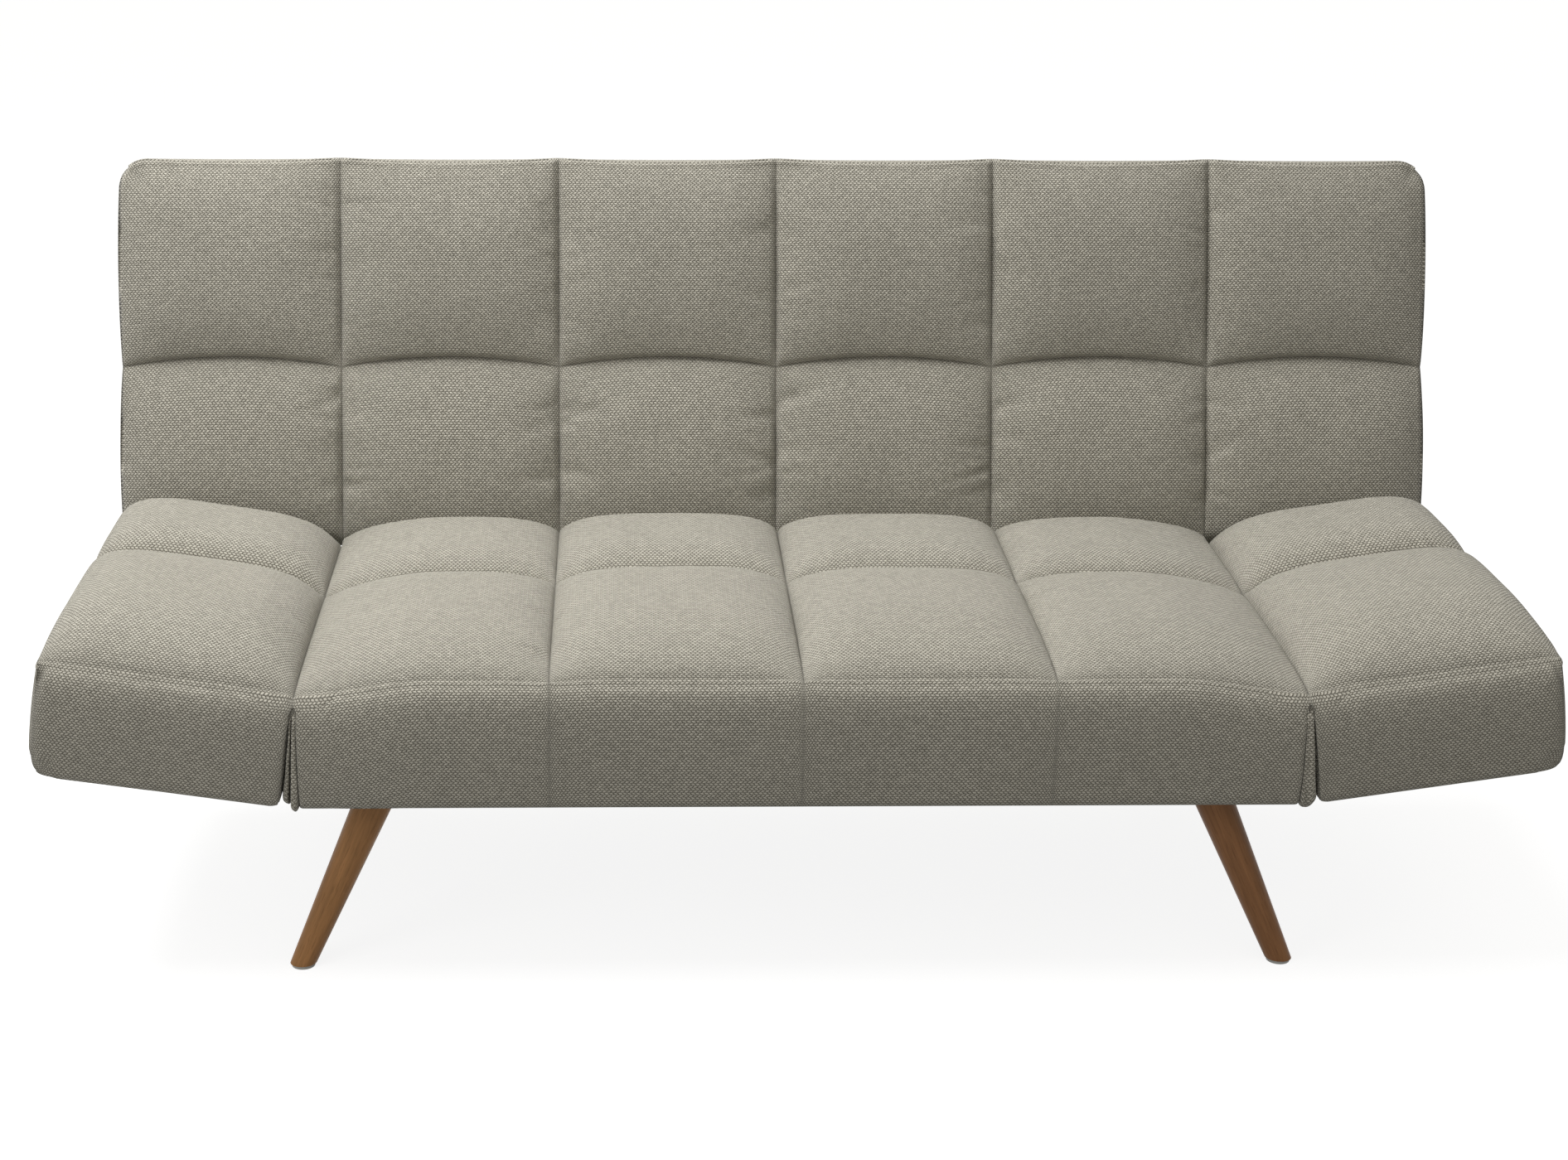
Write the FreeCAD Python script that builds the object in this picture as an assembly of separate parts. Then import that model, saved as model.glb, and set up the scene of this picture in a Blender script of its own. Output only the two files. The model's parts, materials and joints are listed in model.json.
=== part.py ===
"""Click clack sofa bed: tufted seat and back on folding hinges, two end cushions that
lift as arms, and four splayed wooden legs.

Millimetres, +Z up, X along the sofa, -Y towards the person who looks at its front.
The origin is on the floor, under the middle of the sofa as it stands as a sofa.
The seat is built in place. The back and the arms are built lying flat, level with the
seat, as they lie when the sofa is a bed, and are then turned up to their resting angle.
The right-hand side is built, and the left-hand side is its mirror image.
"""

import FreeCAD, Part
import math
import os

V = FreeCAD.Vector
X_AXIS = V(1, 0, 0)
Y_AXIS = V(0, 1, 0)
Z_AXIS = V(0, 0, 1)
ORIGIN = V(0, 0, 0)

# Upholstery
column_width = 300.0
seat_columns = 4
arm_columns = 1
seat_front_row = 340.0
seat_rear_row = 240.0
back_lower_row = 250.0
back_upper_row = 286.0
band_height = 147.0
back_thickness = 120.0
seat_crown = 34.0
back_crown = 28.0
tuft_squareness = 3
seam_sag = 2.0
front_bulge = 4.0
bottom_edge_radius = 12.0
arm_corner_radius = 38.0
back_corner_radius = 40.0
arm_rear_setback = 35.0
cover_wall = 22.0

# How the sofa stands and folds
underside_height = 245.0
back_lean = 17.0
back_forward_travel = 10.0
lounge_recline = 34.0
arm_rest_angle = 8.5
arm_notch_angle = 17.0
arm_notches = 5
fold_margin = 3.5
back_pivot_depth = 14.0
arm_pivot_depth = 12.0
back_fold_gap = 3.0
arm_fold_gap = 2.0

# Frames of square steel tube
seat_tube = 30.0
light_tube = 25.0
tube_wall = 1.5
fit_gap = 0.3
cut_overrun = 1.0
lining_thickness = 1.5
dust_cover_thickness = 1.0
joist_inset = 95.0

# Bowed slats in plastic holders
slat_width = 53.0
slat_thickness = 8.0
slat_bow = 8.0
slat_bearing = 20.0
seat_slat_pairs = 3
arm_slat_pitch = 88.0
holder_width = 60.0
holder_height = 15.0
holder_floor = 3.0
holder_pocket_height = 10.5
holder_side_gap = 0.2
holder_end_gap = 7.0
holder_lip = 8.0
holder_lip_thickness = 2.0

# Legs
leg_top_radius = 25.0
leg_foot_radius = 15.2
front_leg_inset = 110.0
front_leg_splay = (24.0, -8.0)
rear_leg_splay = (18.0, 21.0)
glide_thickness = 4.0
glide_radius = 14.5
glide_spigot_radius = 4.0
glide_spigot_length = 10.0
leg_plate_thickness = 3.0
leg_plate_width = 60.0
leg_plate_length = 90.0
leg_plate_corner = 8.0
leg_plate_screw_margin = 8.0
leg_boss_radius = 7.5
leg_boss_height = 6.0
leg_boss_clearance = 3.5
leg_bolt_radius = 4.0
leg_bolt_depth = 40.0

# Fasteners
hole_clearance = 0.2
screw_radius = 3.0
screw_length = 14.0
screw_head_radius = 5.5
screw_head_height = 2.4

# Ratchet hinges
pin_head_thickness = 3.0
pin_head_inset = 2.0
plate_gap = 0.3
pin_clearance = 0.1
pawl_direction = -95.0
pawl_lift_gap = 0.6
spring_thickness = 0.8
slot_margin = 1.8
stud_boss_margin = 4.0
post_boss_margin = 3.0
stud_head_margin = 1.5
pawl_eye_margin = 2.5
lever_half_to_drop = 0.36
post_reach_to_lever = 0.35
tooth_base_ratio = 1.5
spring_bow_to_drop = 0.1
bolt_head_ratio = 1.6
back_notch = (-105.0, -90.5)
arm_notch = (-101.5, -93.5)

# Cloth gusset in the slit beside each arm
gusset_thickness = 1.2
gusset_inset = 7.0
gusset_levels = (14.0, 98.0)
gusset_fullness = 0.6
gusset_pleats = ((0.0, 0.0), (0.28, 1.0), (0.5, 0.4), (0.72, 1.0), (1.0, 0.0))

# What follows from the sizes above
back_height = back_lower_row + back_upper_row
seat_depth = seat_front_row + seat_rear_row
seat_half = column_width * seat_columns / 2
seat_joist_x = seat_half - joist_inset
full_half = seat_half + column_width * arm_columns
seam_z = underside_height + band_height
back_pivot_z = seam_z - back_pivot_depth
arm_pivot_z = seam_z - arm_pivot_depth
back_rest_angle = 90.0 - back_lean
back_reach = (back_height * math.sin(math.radians(back_lean))
              + (back_thickness - back_pivot_depth) * math.cos(math.radians(back_lean)))
hinge_y = (seat_depth + front_bulge - back_reach) / 2
front_y = hinge_y - seat_depth
row_y = front_y + seat_front_row
arm_rear_y = hinge_y - arm_rear_setback
arm_travel = arm_notch_angle * (arm_notches - 1)
back_underside_z = seam_z - back_thickness

# Where the frames lie
seat_frame_z = underside_height + leg_plate_thickness
back_frame_z = back_underside_z + lining_thickness
slat_stack = holder_floor + 2 * fit_gap + slat_bow + slat_thickness
seat_recess_top = seat_frame_z + seat_tube + slat_stack
arm_recess_top = seat_frame_z + light_tube + slat_stack
back_recess_top = back_frame_z + light_tube + slat_stack
seat_frame_half = seat_half - arm_fold_gap - cover_wall
front_rail_y = (front_y + cover_wall, front_y + cover_wall + seat_tube)
rear_rail_y = (hinge_y - back_fold_gap - cover_wall - seat_tube,
               hinge_y - back_fold_gap - cover_wall)
back_frame_half = full_half - cover_wall
back_rail_near = hinge_y + back_fold_gap + cover_wall
back_rail_far = hinge_y + back_height - cover_wall
arm_frame_x = (seat_half + arm_fold_gap + cover_wall, full_half - arm_corner_radius)

TUFT_SHARES = (0.0, 0.1, 0.25, 0.5, 0.75, 0.9, 1.0)


class Hinge:
    """Sizes of one ratchet hinge, drawn in its own plane with the pivot at the origin.

    u points to the moving side as it lies flat, v points up, and w runs along the pin.
    The fixed arm is the first layer along w, and the moving arm and pawl are the second.
    """

    def __init__(self, pivot_z, fold_gap, plate, pin, head, root, tip, tail, moving_tube_z, pitch,
                 tail_half, bolt, lever, drop, tooth_half, teeth, sector):
        self.pivot_z = pivot_z
        self.fold_gap = fold_gap
        self.plate = plate
        self.pin = pin
        self.head = head
        self.root = root
        self.tip = tip
        self.tail = tail
        self.fixed_v = seat_frame_z + seat_tube / 2 - pivot_z
        self.moving_v = moving_tube_z + light_tube / 2 - pivot_z
        self.pitch = pitch
        self.tail_half = tail_half
        self.bolt = bolt
        self.lever = lever
        self.drop = drop
        self.tooth_half = tooth_half
        self.teeth = teeth
        self.sector = sector
        self.stud = pin / 2
        self.lever_half = drop * lever_half_to_drop
        self.second_layer = plate + plate_gap
        self.stack = 2 * plate + 2 * plate_gap
        angle = math.radians(pawl_direction)
        reach = tip + pawl_lift_gap
        self.pawl_tip = V(reach * math.cos(angle), reach * math.sin(angle), 0)
        self.pawl_centre = self.pawl_tip - V(lever, drop, 0)
        self.spring_post = self.pawl_centre - V(lever * post_reach_to_lever, drop, 0)


def back_teeth():
    """Start and end of each tooth of a back hinge, in degrees, with the back lying flat."""
    lounge = back_rest_angle - lounge_recline
    stop = (back_notch[1] - back_rest_angle, back_notch[0] - lounge)
    return [stop, (back_notch[1] - lounge, back_notch[1] - lounge + stop[1] - stop[0])]


def arm_teeth():
    """Start and end of each tooth of an arm hinge, in degrees, with the arm lying flat."""
    low, high = (side - arm_rest_angle for side in arm_notch)
    gap = arm_notch_angle - (high - low)
    teeth = [(high, high + gap)]
    teeth += [(low - k * arm_notch_angle - gap, low - k * arm_notch_angle)
              for k in range(arm_notches)]
    return teeth


back_hinge = Hinge(
    pivot_z=back_pivot_z, fold_gap=back_fold_gap, plate=4.0, pin=6.0, head=13.0, root=35.0,
    tip=40.0, tail=(90.0, 75.0), moving_tube_z=back_frame_z, pitch=40.0, tail_half=11.0, bolt=4.0,
    lever=26.0, drop=11.0, tooth_half=2.5, teeth=back_teeth(), sector=(-186.0, -103.0))

arm_hinge = Hinge(
    pivot_z=arm_pivot_z, fold_gap=arm_fold_gap, plate=3.0, pin=4.0, head=9.0, root=27.0,
    tip=30.0, tail=(42.0, 42.0), moving_tube_z=seat_frame_z, pitch=23.0, tail_half=9.0, bolt=3.0,
    lever=18.0, drop=8.0, tooth_half=0.7, teeth=arm_teeth(), sector=(-190.0, -90.0))

back_hinge_x = seat_joist_x + seat_tube / 2
back_stile_x = back_hinge_x + back_hinge.second_layer + back_hinge.plate
arm_hinge_stack = arm_hinge.second_layer + arm_hinge.plate
arm_front_rail_y = front_rail_y[1] + arm_hinge_stack
arm_rear_rail_y = rear_rail_y[0] - arm_hinge_stack
arm_recess_y = (front_rail_y[0], rear_rail_y[0])


def box(x, y, z):
    """A box from three pairs of coordinates."""
    return Part.makeBox(x[1] - x[0], y[1] - y[0], z[1] - z[0], V(x[0], y[0], z[0]))


def mirrored(shape):
    """The same piece on the left-hand side."""
    return shape.mirror(ORIGIN, X_AXIS)


def both(shape):
    """The piece and its mirror image, as one group."""
    return Part.makeCompound([mirrored(shape), shape])


def turned(shape, centre, axis, angle):
    copy = shape.copy()
    copy.rotate(centre, axis, angle)
    return copy


def fused(shapes):
    """One solid from touching shapes, without seams between faces that lie in one plane."""
    return shapes[0].multiFuse(shapes[1:]).removeSplitter()


def cut_all(shape, tools):
    return shape.cut(tools) if tools else shape


def line(start, end):
    return Part.LineSegment(start, end).toShape()


def bulged(start, end, sagitta, side):
    """A circular arc from start to end that swells by sagitta towards side."""
    return Part.Arc(start, (start + end) / 2 + side * sagitta, end).toShape()


def quarter_round(start, end, centre):
    """A quarter circle between two faces."""
    outward = ((start + end) / 2 - centre).normalize()
    return Part.Arc(start, centre + outward * (start - centre).Length, end).toShape()


def swell(share):
    """How full a tuft is at a share of its width, 0 at a seam and 1 in the middle."""
    return 1 - abs(2 * share - 1) ** tuft_squareness


def column(section, x0, x1, crown, end_y):
    """A column of tufts, from its outline at places across it."""
    wires = []
    for share in TUFT_SHARES:
        height = seam_sag + (crown - seam_sag) * swell(share)
        wires.append(section(x0 + share * (x1 - x0), height, end_y))
    return Part.makeLoft(wires, True)


def seat_section(x, crown, rear):
    """The outline of a seat or arm column, two tufts deep, where it is cut at x."""
    radius = bottom_edge_radius
    rear_bottom = V(x, rear, underside_height)
    front_bottom = V(x, front_y + radius, underside_height)
    front_low = V(x, front_y, underside_height + radius)
    front_seam = V(x, front_y, seam_z)
    valley = V(x, row_y, seam_z)
    rear_seam = V(x, rear, seam_z)
    return Part.Wire([
        line(rear_bottom, front_bottom),
        quarter_round(front_bottom, front_low, V(x, front_y + radius, underside_height + radius)),
        bulged(front_low, front_seam, front_bulge, -Y_AXIS),
        bulged(front_seam, valley, crown, Z_AXIS),
        bulged(valley, rear_seam, crown, Z_AXIS),
        line(rear_seam, rear_bottom)])


def back_section(x, crown, top):
    """The outline of a back column, two tufts high and lying flat, where it is cut at x."""
    radius = bottom_edge_radius
    near = hinge_y + back_fold_gap
    near_bottom = V(x, near, back_underside_z)
    near_seam = V(x, near, seam_z)
    valley = V(x, hinge_y + back_lower_row, seam_z)
    top_seam = V(x, top, seam_z)
    top_low = V(x, top, back_underside_z + radius)
    top_bottom = V(x, top - radius, back_underside_z)
    return Part.Wire([
        line(near_bottom, near_seam),
        bulged(near_seam, valley, crown, Z_AXIS),
        bulged(valley, top_seam, crown, Z_AXIS),
        bulged(top_seam, top_low, front_bulge, Y_AXIS),
        quarter_round(top_low, top_bottom, V(x, top - radius, back_underside_z + radius)),
        line(top_bottom, near_bottom)])


def arm_corner():
    """What is cut from the arm to round its outer lower edge."""
    radius = arm_corner_radius
    x, z = full_half - radius, underside_height + radius
    y = (front_y - seat_depth, hinge_y)
    square = box((x, full_half + radius), y, (underside_height - radius, z))
    return square.cut(Part.makeCylinder(radius, y[1] - y[0], V(x, y[0], z), Y_AXIS))


def back_corner():
    """What is cut from the back to round its outer top corner."""
    radius = back_corner_radius
    x, y = full_half - radius, hinge_y + back_height + front_bulge - radius
    z = (back_underside_z - radius, seam_z + radius)
    square = box((x, full_half + radius), (y, y + 2 * radius), z)
    return square.cut(Part.makeCylinder(radius, z[1] - z[0], V(x, y, z[0])))


def fold_valley(apex, along, across, length, closing_angle):
    """The air that a fold line needs above its pivot, as a prism along the line."""
    reach = 3 * seat_crown
    side = across * (reach * math.tan(math.radians((closing_angle + fold_margin) / 2)))
    start = apex - along * (length / 2)
    top = start + Z_AXIS * reach
    face = Part.Face(Part.makePolygon([start, top + side, top - side, start]))
    return face.extrude(along * length)


def back_valley():
    return fold_valley(V(0, hinge_y, back_pivot_z), X_AXIS, Y_AXIS, 3 * full_half,
                       back_rest_angle + back_forward_travel)


def arm_valley():
    return fold_valley(V(seat_half, hinge_y - seat_depth / 2, arm_pivot_z), Y_AXIS, X_AXIS,
                       2 * seat_depth, arm_rest_angle + arm_travel)


def capsule(p0, p1, r0, r1, thickness):
    """A flat link with round ends, from one centre to another."""
    span = p1 - p0
    lean = math.asin((r0 - r1) / span.Length)
    along = V(span).normalize()
    across = V(-along.y, along.x, 0)
    left = along * math.sin(lean) + across * math.cos(lean)
    right = along * math.sin(lean) - across * math.cos(lean)
    far_arc = Part.Arc(p1 + left * r1, p1 + along * r1, p1 + right * r1).toShape()
    near_arc = Part.Arc(p0 + right * r0, p0 - along * r0, p0 + left * r0).toShape()
    outline = Part.Wire([line(p0 + left * r0, p1 + left * r1), far_arc,
                         line(p1 + right * r1, p0 + right * r0), near_arc])
    return Part.Face(outline).extrude(V(0, 0, thickness))


def disc(centre, radius, thickness, base=0.0):
    return Part.makeCylinder(radius, thickness, V(centre.x, centre.y, base))


def pie(radius, angles, thickness):
    """A slice of a disc between two angles."""
    whole = Part.makeCylinder(radius, thickness, ORIGIN, Z_AXIS, angles[1] - angles[0])
    return turned(whole, ORIGIN, Z_AXIS, angles[0])


def hexagon(radius, height):
    corners = [V(radius * math.cos(math.radians(60 * k)),
                 radius * math.sin(math.radians(60 * k)), 0) for k in range(7)]
    return Part.Face(Part.makePolygon(corners)).extrude(V(0, 0, height))


def tail_holes(h, moving):
    """The centres of the two bolts that hold a hinge arm to its tube."""
    side = 1 if moving else -1
    v = h.moving_v if moving else h.fixed_v
    near = side * h.tail[1 if moving else 0]
    return [V(near, v, 0), V(near + side * h.pitch, v, 0)]


def hinge_arm(h, moving, extra, drills):
    """A plate from the pivot down to its tube, with a round head and two bolt holes."""
    holes = tail_holes(h, moving)
    link = capsule(ORIGIN, holes[0], h.head, h.tail_half, h.plate)
    tail = capsule(holes[0], holes[1], h.tail_half, h.tail_half, h.plate)
    bores = [disc(ORIGIN, h.pin + pin_clearance, h.plate)]
    bores += [disc(p, h.bolt + hole_clearance, h.plate) for p in holes]
    return cut_all(fused([link, tail] + extra), bores + drills)


def fixed_arm(h):
    """The hinge arm that is bolted to the seat frame. It carries the pawl and its spring."""
    stud_boss = h.stud + stud_boss_margin
    post_boss = h.stud + post_boss_margin
    extra = [capsule(ORIGIN, h.pawl_centre, h.head, stud_boss, h.plate),
             capsule(h.pawl_centre, h.spring_post, stud_boss, post_boss, h.plate)]
    drills = [disc(h.pawl_centre, h.stud + pin_clearance, h.plate),
              disc(h.spring_post, h.stud + pin_clearance, h.plate)]
    return hinge_arm(h, False, extra, drills)


def moving_arm(h):
    """The hinge arm that swings. Its near side is the toothed quadrant."""
    quadrant = [pie(h.root, h.sector, h.plate)]
    quadrant += [pie(h.tip, tooth, h.plate) for tooth in h.teeth]
    arm = hinge_arm(h, True, quadrant, [])
    arm.translate(V(0, 0, h.second_layer))
    return arm


def hinge_pin(h):
    """A rivet through both arms."""
    head = h.head - pin_head_inset
    return fused([disc(ORIGIN, head, pin_head_thickness, -pin_head_thickness),
                  disc(ORIGIN, h.pin, h.stack),
                  disc(ORIGIN, head, pin_head_thickness, h.stack)])


def hinge_studs(h):
    """The stud that the pawl swings on, and the post that the spring is coiled round."""
    return [fused([disc(p, h.stud, h.stack), disc(p, h.stud + stud_head_margin, stud_head_margin, h.stack)])
            for p in (h.pawl_centre, h.spring_post)]


def pawl(h):
    """The lifted pawl: a lever on its stud, with a tooth that reaches up to the quadrant."""
    elbow = V(h.pawl_tip.x, h.pawl_centre.y, 0)
    lever = capsule(h.pawl_centre, elbow, h.stud + pawl_eye_margin, h.lever_half, h.plate)
    base = V(h.tooth_half * tooth_base_ratio, 0, 0)
    tip = V(h.tooth_half, 0, 0)
    tooth = Part.Face(Part.makePolygon([elbow - base, elbow + base, h.pawl_tip + tip,
                                        h.pawl_tip - tip, elbow - base]))
    body = fused([lever, tooth.extrude(V(0, 0, h.plate))])
    body = body.cut(disc(h.pawl_centre, h.stud + pin_clearance, h.plate))
    body.translate(V(0, 0, h.second_layer))
    return body


def pawl_spring(h):
    """A leaf spring with an eye round its post. It bears on the lifted pawl from below."""
    touch = V(h.pawl_tip.x, h.pawl_centre.y - h.lever_half - fit_gap - spring_thickness, 0)
    inner = h.stud + pin_clearance
    outer = inner + spring_thickness
    start = h.spring_post - V(0, outer, 0)
    rise = V(0, spring_thickness, 0)
    bow = h.drop * spring_bow_to_drop
    leaf = Part.Face(Part.Wire([
        bulged(start, touch, bow, -Y_AXIS), line(touch, touch + rise),
        bulged(touch + rise, start + rise, bow, -Y_AXIS), line(start + rise, start)]))
    body = fused([disc(h.spring_post, outer, h.plate), leaf.extrude(V(0, 0, h.plate))])
    body = body.cut(disc(h.spring_post, inner, h.plate))
    body.translate(V(0, 0, h.second_layer))
    return body


def hinge_bolts(h, moving):
    """The hexagon bolts that hold a hinge arm to its tube."""
    length = h.plate + seat_tube / 2
    bolt = fused([hexagon(h.bolt * bolt_head_ratio, h.bolt),
                  Part.makeCylinder(h.bolt, length, V(0, 0, -length))])
    face = h.plate
    if moving:
        bolt = turned(bolt, ORIGIN, X_AXIS, 180)
        face = h.second_layer
    bolts = []
    for centre in tail_holes(h, moving):
        copy = bolt.copy()
        copy.translate(V(centre.x, centre.y, face))
        bolts.append(copy)
    return bolts


def bolt_bores(h, moving):
    """The holes for those bolts in the tube behind the arm."""
    depth = seat_tube / 2 + cut_overrun
    base = h.second_layer + h.plate if moving else -depth
    return [disc(p, h.bolt + hole_clearance, depth, base) for p in tail_holes(h, moving)]


def hinge_slot(h, moving, recess_top):
    """The slot that a cushion has round a hinge, open to the fold and to the recess."""
    tube_v = h.moving_v if moving else h.fixed_v
    tail = h.tail[1 if moving else 0]
    link_half = h.head * math.hypot(tail, tube_v) / abs(tube_v)
    recess_v = recess_top - h.pivot_z
    past_wall_v = (h.fold_gap + cover_wall + link_half) * tube_v / tail
    low = min(recess_v - cut_overrun, past_wall_v)
    reach = tail * recess_v / tube_v + link_half + slot_margin
    top = h.tip * math.sin(math.radians(-180 - h.sector[0])) + slot_margin
    past_fold = h.fold_gap + cut_overrun
    sides = (-past_fold, reach) if moving else (-reach, past_fold)
    depths = (-pin_head_thickness - slot_margin, h.stack + pin_head_thickness + slot_margin)
    round_head = disc(ORIGIN, h.head + slot_margin, depths[1] - depths[0], depths[0])
    return [box(sides, (low, top), depths), round_head]


def at_back(shape):
    """From a back hinge's own plane to the right-hand end of the seat's rear edge."""
    place = FreeCAD.Placement(V(back_hinge_x, hinge_y, back_pivot_z),
                              FreeCAD.Rotation(Y_AXIS, Z_AXIS, X_AXIS, "XYZ"))
    copy = shape.copy()
    copy.Placement = place.multiply(copy.Placement)
    return copy


def at_arm_rear(shape):
    """From an arm hinge's own plane to the rear end of the seat's right-hand edge."""
    place = FreeCAD.Placement(V(seat_half, rear_rail_y[0], arm_pivot_z),
                              FreeCAD.Rotation(X_AXIS, Z_AXIS, -Y_AXIS, "XYZ"))
    copy = shape.copy()
    copy.Placement = place.multiply(copy.Placement)
    return copy


def at_arm_front(shape):
    """The mirror image of the rear arm hinge, behind the seat's front rail."""
    return at_arm_rear(shape).mirror(V(0, (front_rail_y[1] + rear_rail_y[0]) / 2, 0), Y_AXIS)


def at_arm(shapes):
    """A list of hinge pieces at the front and the rear of the right arm."""
    return [place(shape) for place in (at_arm_front, at_arm_rear) for shape in shapes]


def raise_back(shape):
    """Turn a piece of the back up from lying flat to its resting angle."""
    return turned(shape, V(0, hinge_y, back_pivot_z), X_AXIS, back_rest_angle)


def raise_arm(shape):
    """Turn a piece of the right arm up from lying flat to its resting angle."""
    return turned(shape, V(seat_half, 0, arm_pivot_z), Y_AXIS, -arm_rest_angle)


def tube(x, y, z):
    """A square tube along its longest side."""
    spans = [x, y, z]
    longest = max(range(3), key=lambda k: spans[k][1] - spans[k][0])
    inner = [s if k == longest else (s[0] + tube_wall, s[1] - tube_wall)
             for k, s in enumerate(spans)]
    return box(x, y, z).cut(box(*inner))


def seat_frame():
    """Two long rails and two joists, drilled for the leg plates and the hinges."""
    z = (seat_frame_z, seat_frame_z + seat_tube)
    x = (-seat_frame_half, seat_frame_half)
    joist_x = (seat_joist_x - seat_tube / 2, seat_joist_x + seat_tube / 2)
    joist = tube(joist_x, (front_rail_y[1], rear_rail_y[0]), z)
    frame = fused([tube(x, front_rail_y, z), tube(x, rear_rail_y, z), joist, mirrored(joist)])
    drills = [at_back(b) for b in bolt_bores(back_hinge, False)]
    drills += at_arm(bolt_bores(arm_hinge, False))
    for y, splay in leg_places():
        drills.append(leg_boss_bore(y, splay))
        drills += [Part.makeCylinder(screw_radius + hole_clearance, tube_wall * 2, V(px, py, z[0]))
                   for px, py in leg_screw_places(y)]
    drills += [mirrored(d) for d in drills]
    return cut_all(frame, drills)


def back_frame():
    """Two long rails, two end stiles and two stiles beside the hinges, lying flat."""
    z = (back_frame_z, back_frame_z + light_tube)
    x = (-back_frame_half, back_frame_half)
    between = (back_rail_near + light_tube, back_rail_far - light_tube)
    stile = tube((back_stile_x, back_stile_x + light_tube), between, z)
    end = tube((back_frame_half - light_tube, back_frame_half), between, z)
    frame = fused([tube(x, (back_rail_near, back_rail_near + light_tube), z),
                   tube(x, (back_rail_far - light_tube, back_rail_far), z),
                   stile, mirrored(stile), end, mirrored(end)])
    drills = [at_back(b) for b in bolt_bores(back_hinge, True)]
    return cut_all(frame, drills + [mirrored(d) for d in drills])


def arm_frame():
    """Two rails between the arm's hinges and two side tubes, lying flat."""
    z = (seat_frame_z, seat_frame_z + light_tube)
    front = (arm_front_rail_y, arm_front_rail_y + light_tube)
    rear = (arm_rear_rail_y - light_tube, arm_rear_rail_y)
    between = (front[1], rear[0])
    inner = tube((arm_frame_x[0], arm_frame_x[0] + light_tube), between, z)
    outer = tube((arm_frame_x[1] - light_tube, arm_frame_x[1]), between, z)
    frame = fused([tube(arm_frame_x, front, z), tube(arm_frame_x, rear, z), inner, outer])
    return cut_all(frame, at_arm(bolt_bores(arm_hinge, True)))


def slat(x, y0, y1, rail_top):
    """One bowed slat. y0 and y1 are the inner faces of the rails that carry it."""
    z = rail_top + holder_floor + fit_gap
    ends = [V(x - slat_width / 2, y0 - slat_bearing, z), V(x - slat_width / 2, y1 + slat_bearing, z)]
    up = Z_AXIS * slat_thickness
    outline = Part.Wire([
        bulged(ends[0], ends[1], slat_bow, Z_AXIS), line(ends[1], ends[1] + up),
        bulged(ends[1] + up, ends[0] + up, slat_bow, Z_AXIS), line(ends[0] + up, ends[0])])
    return Part.Face(outline).extrude(X_AXIS * slat_width)


def slat_holder(x, inner_y, side, rail_top, rail_width):
    """A plastic holder on a rail. side is -1 where the rail lies in front of the slat."""
    half = holder_width / 2
    pocket = slat_width / 2 + holder_side_gap
    across = sorted((inner_y, inner_y + side * rail_width))
    bearing = sorted((inner_y, inner_y + side * (slat_bearing + fit_gap)))
    lip = sorted((inner_y, inner_y - side * holder_lip_thickness))
    block = box((x - half, x + half), across, (rail_top, rail_top + holder_height))
    mouth = box((x - pocket, x + pocket), bearing,
                (rail_top + holder_floor, rail_top + holder_floor + holder_pocket_height))
    hook = box((x - half, x + half), lip, (rail_top - holder_lip, rail_top + holder_floor))
    return fused([block.cut(mouth), hook])


def slat_set(xs, y0, y1, rail_top, rail_width):
    """Slats and their holders across the gap between two rails."""
    slats = [slat(x, y0, y1, rail_top) for x in xs]
    holders = []
    for x in xs:
        holders.append(slat_holder(x, y0, -1, rail_top, rail_width))
        holders.append(slat_holder(x, y1, 1, rail_top, rail_width))
    return Part.makeCompound(slats), Part.makeCompound(holders)


def seat_slat_places():
    outermost = seat_joist_x - (seat_tube + holder_width) / 2
    pitch = outermost / (seat_slat_pairs - 0.5)
    places = [pitch * (k + 0.5) for k in range(seat_slat_pairs)]
    return [-x for x in reversed(places)] + places


def outer_slat_places():
    outermost = arm_frame_x[1] - light_tube - holder_end_gap - holder_width / 2
    return [outermost - arm_slat_pitch, outermost]


def seat_cushion():
    """The middle seat's foam and cover, with a recess below for its frame."""
    edge = seat_half - arm_fold_gap
    bounds = [-edge] + [column_width * k - seat_half for k in range(1, seat_columns)] + [edge]
    rear = hinge_y - back_fold_gap
    whole = fused([column(seat_section, a, b, seat_crown, rear)
                   for a, b in zip(bounds, bounds[1:])])
    recess = box((-seat_frame_half, seat_frame_half), (front_rail_y[0], rear_rail_y[1]),
                 (underside_height, seat_recess_top))
    slots = [at_back(s) for s in hinge_slot(back_hinge, False, seat_recess_top)]
    slots += at_arm(hinge_slot(arm_hinge, False, seat_recess_top))
    slots += [arm_valley()]
    slots += [mirrored(s) for s in slots]
    return cut_all(whole, [recess, back_valley()] + slots)


def back_cushion():
    """The back's foam and cover, lying flat, with a recess in its rear for its frame."""
    top = hinge_y + back_height
    right = [column(back_section, column_width * k, column_width * (k + 1), back_crown, top)
             for k in range(seat_columns // 2 + arm_columns)]
    whole = fused(right + [mirrored(c) for c in right])
    recess = box((-back_frame_half, back_frame_half), (back_rail_near, back_rail_far),
                 (back_underside_z, back_recess_top))
    slots = [at_back(s) for s in hinge_slot(back_hinge, True, back_recess_top)]
    slots.append(back_corner())
    slots += [mirrored(s) for s in slots]
    return cut_all(whole, [recess, back_valley()] + slots)


def arm_recess():
    return box(arm_frame_x, arm_recess_y, (underside_height, arm_recess_top))


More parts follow.
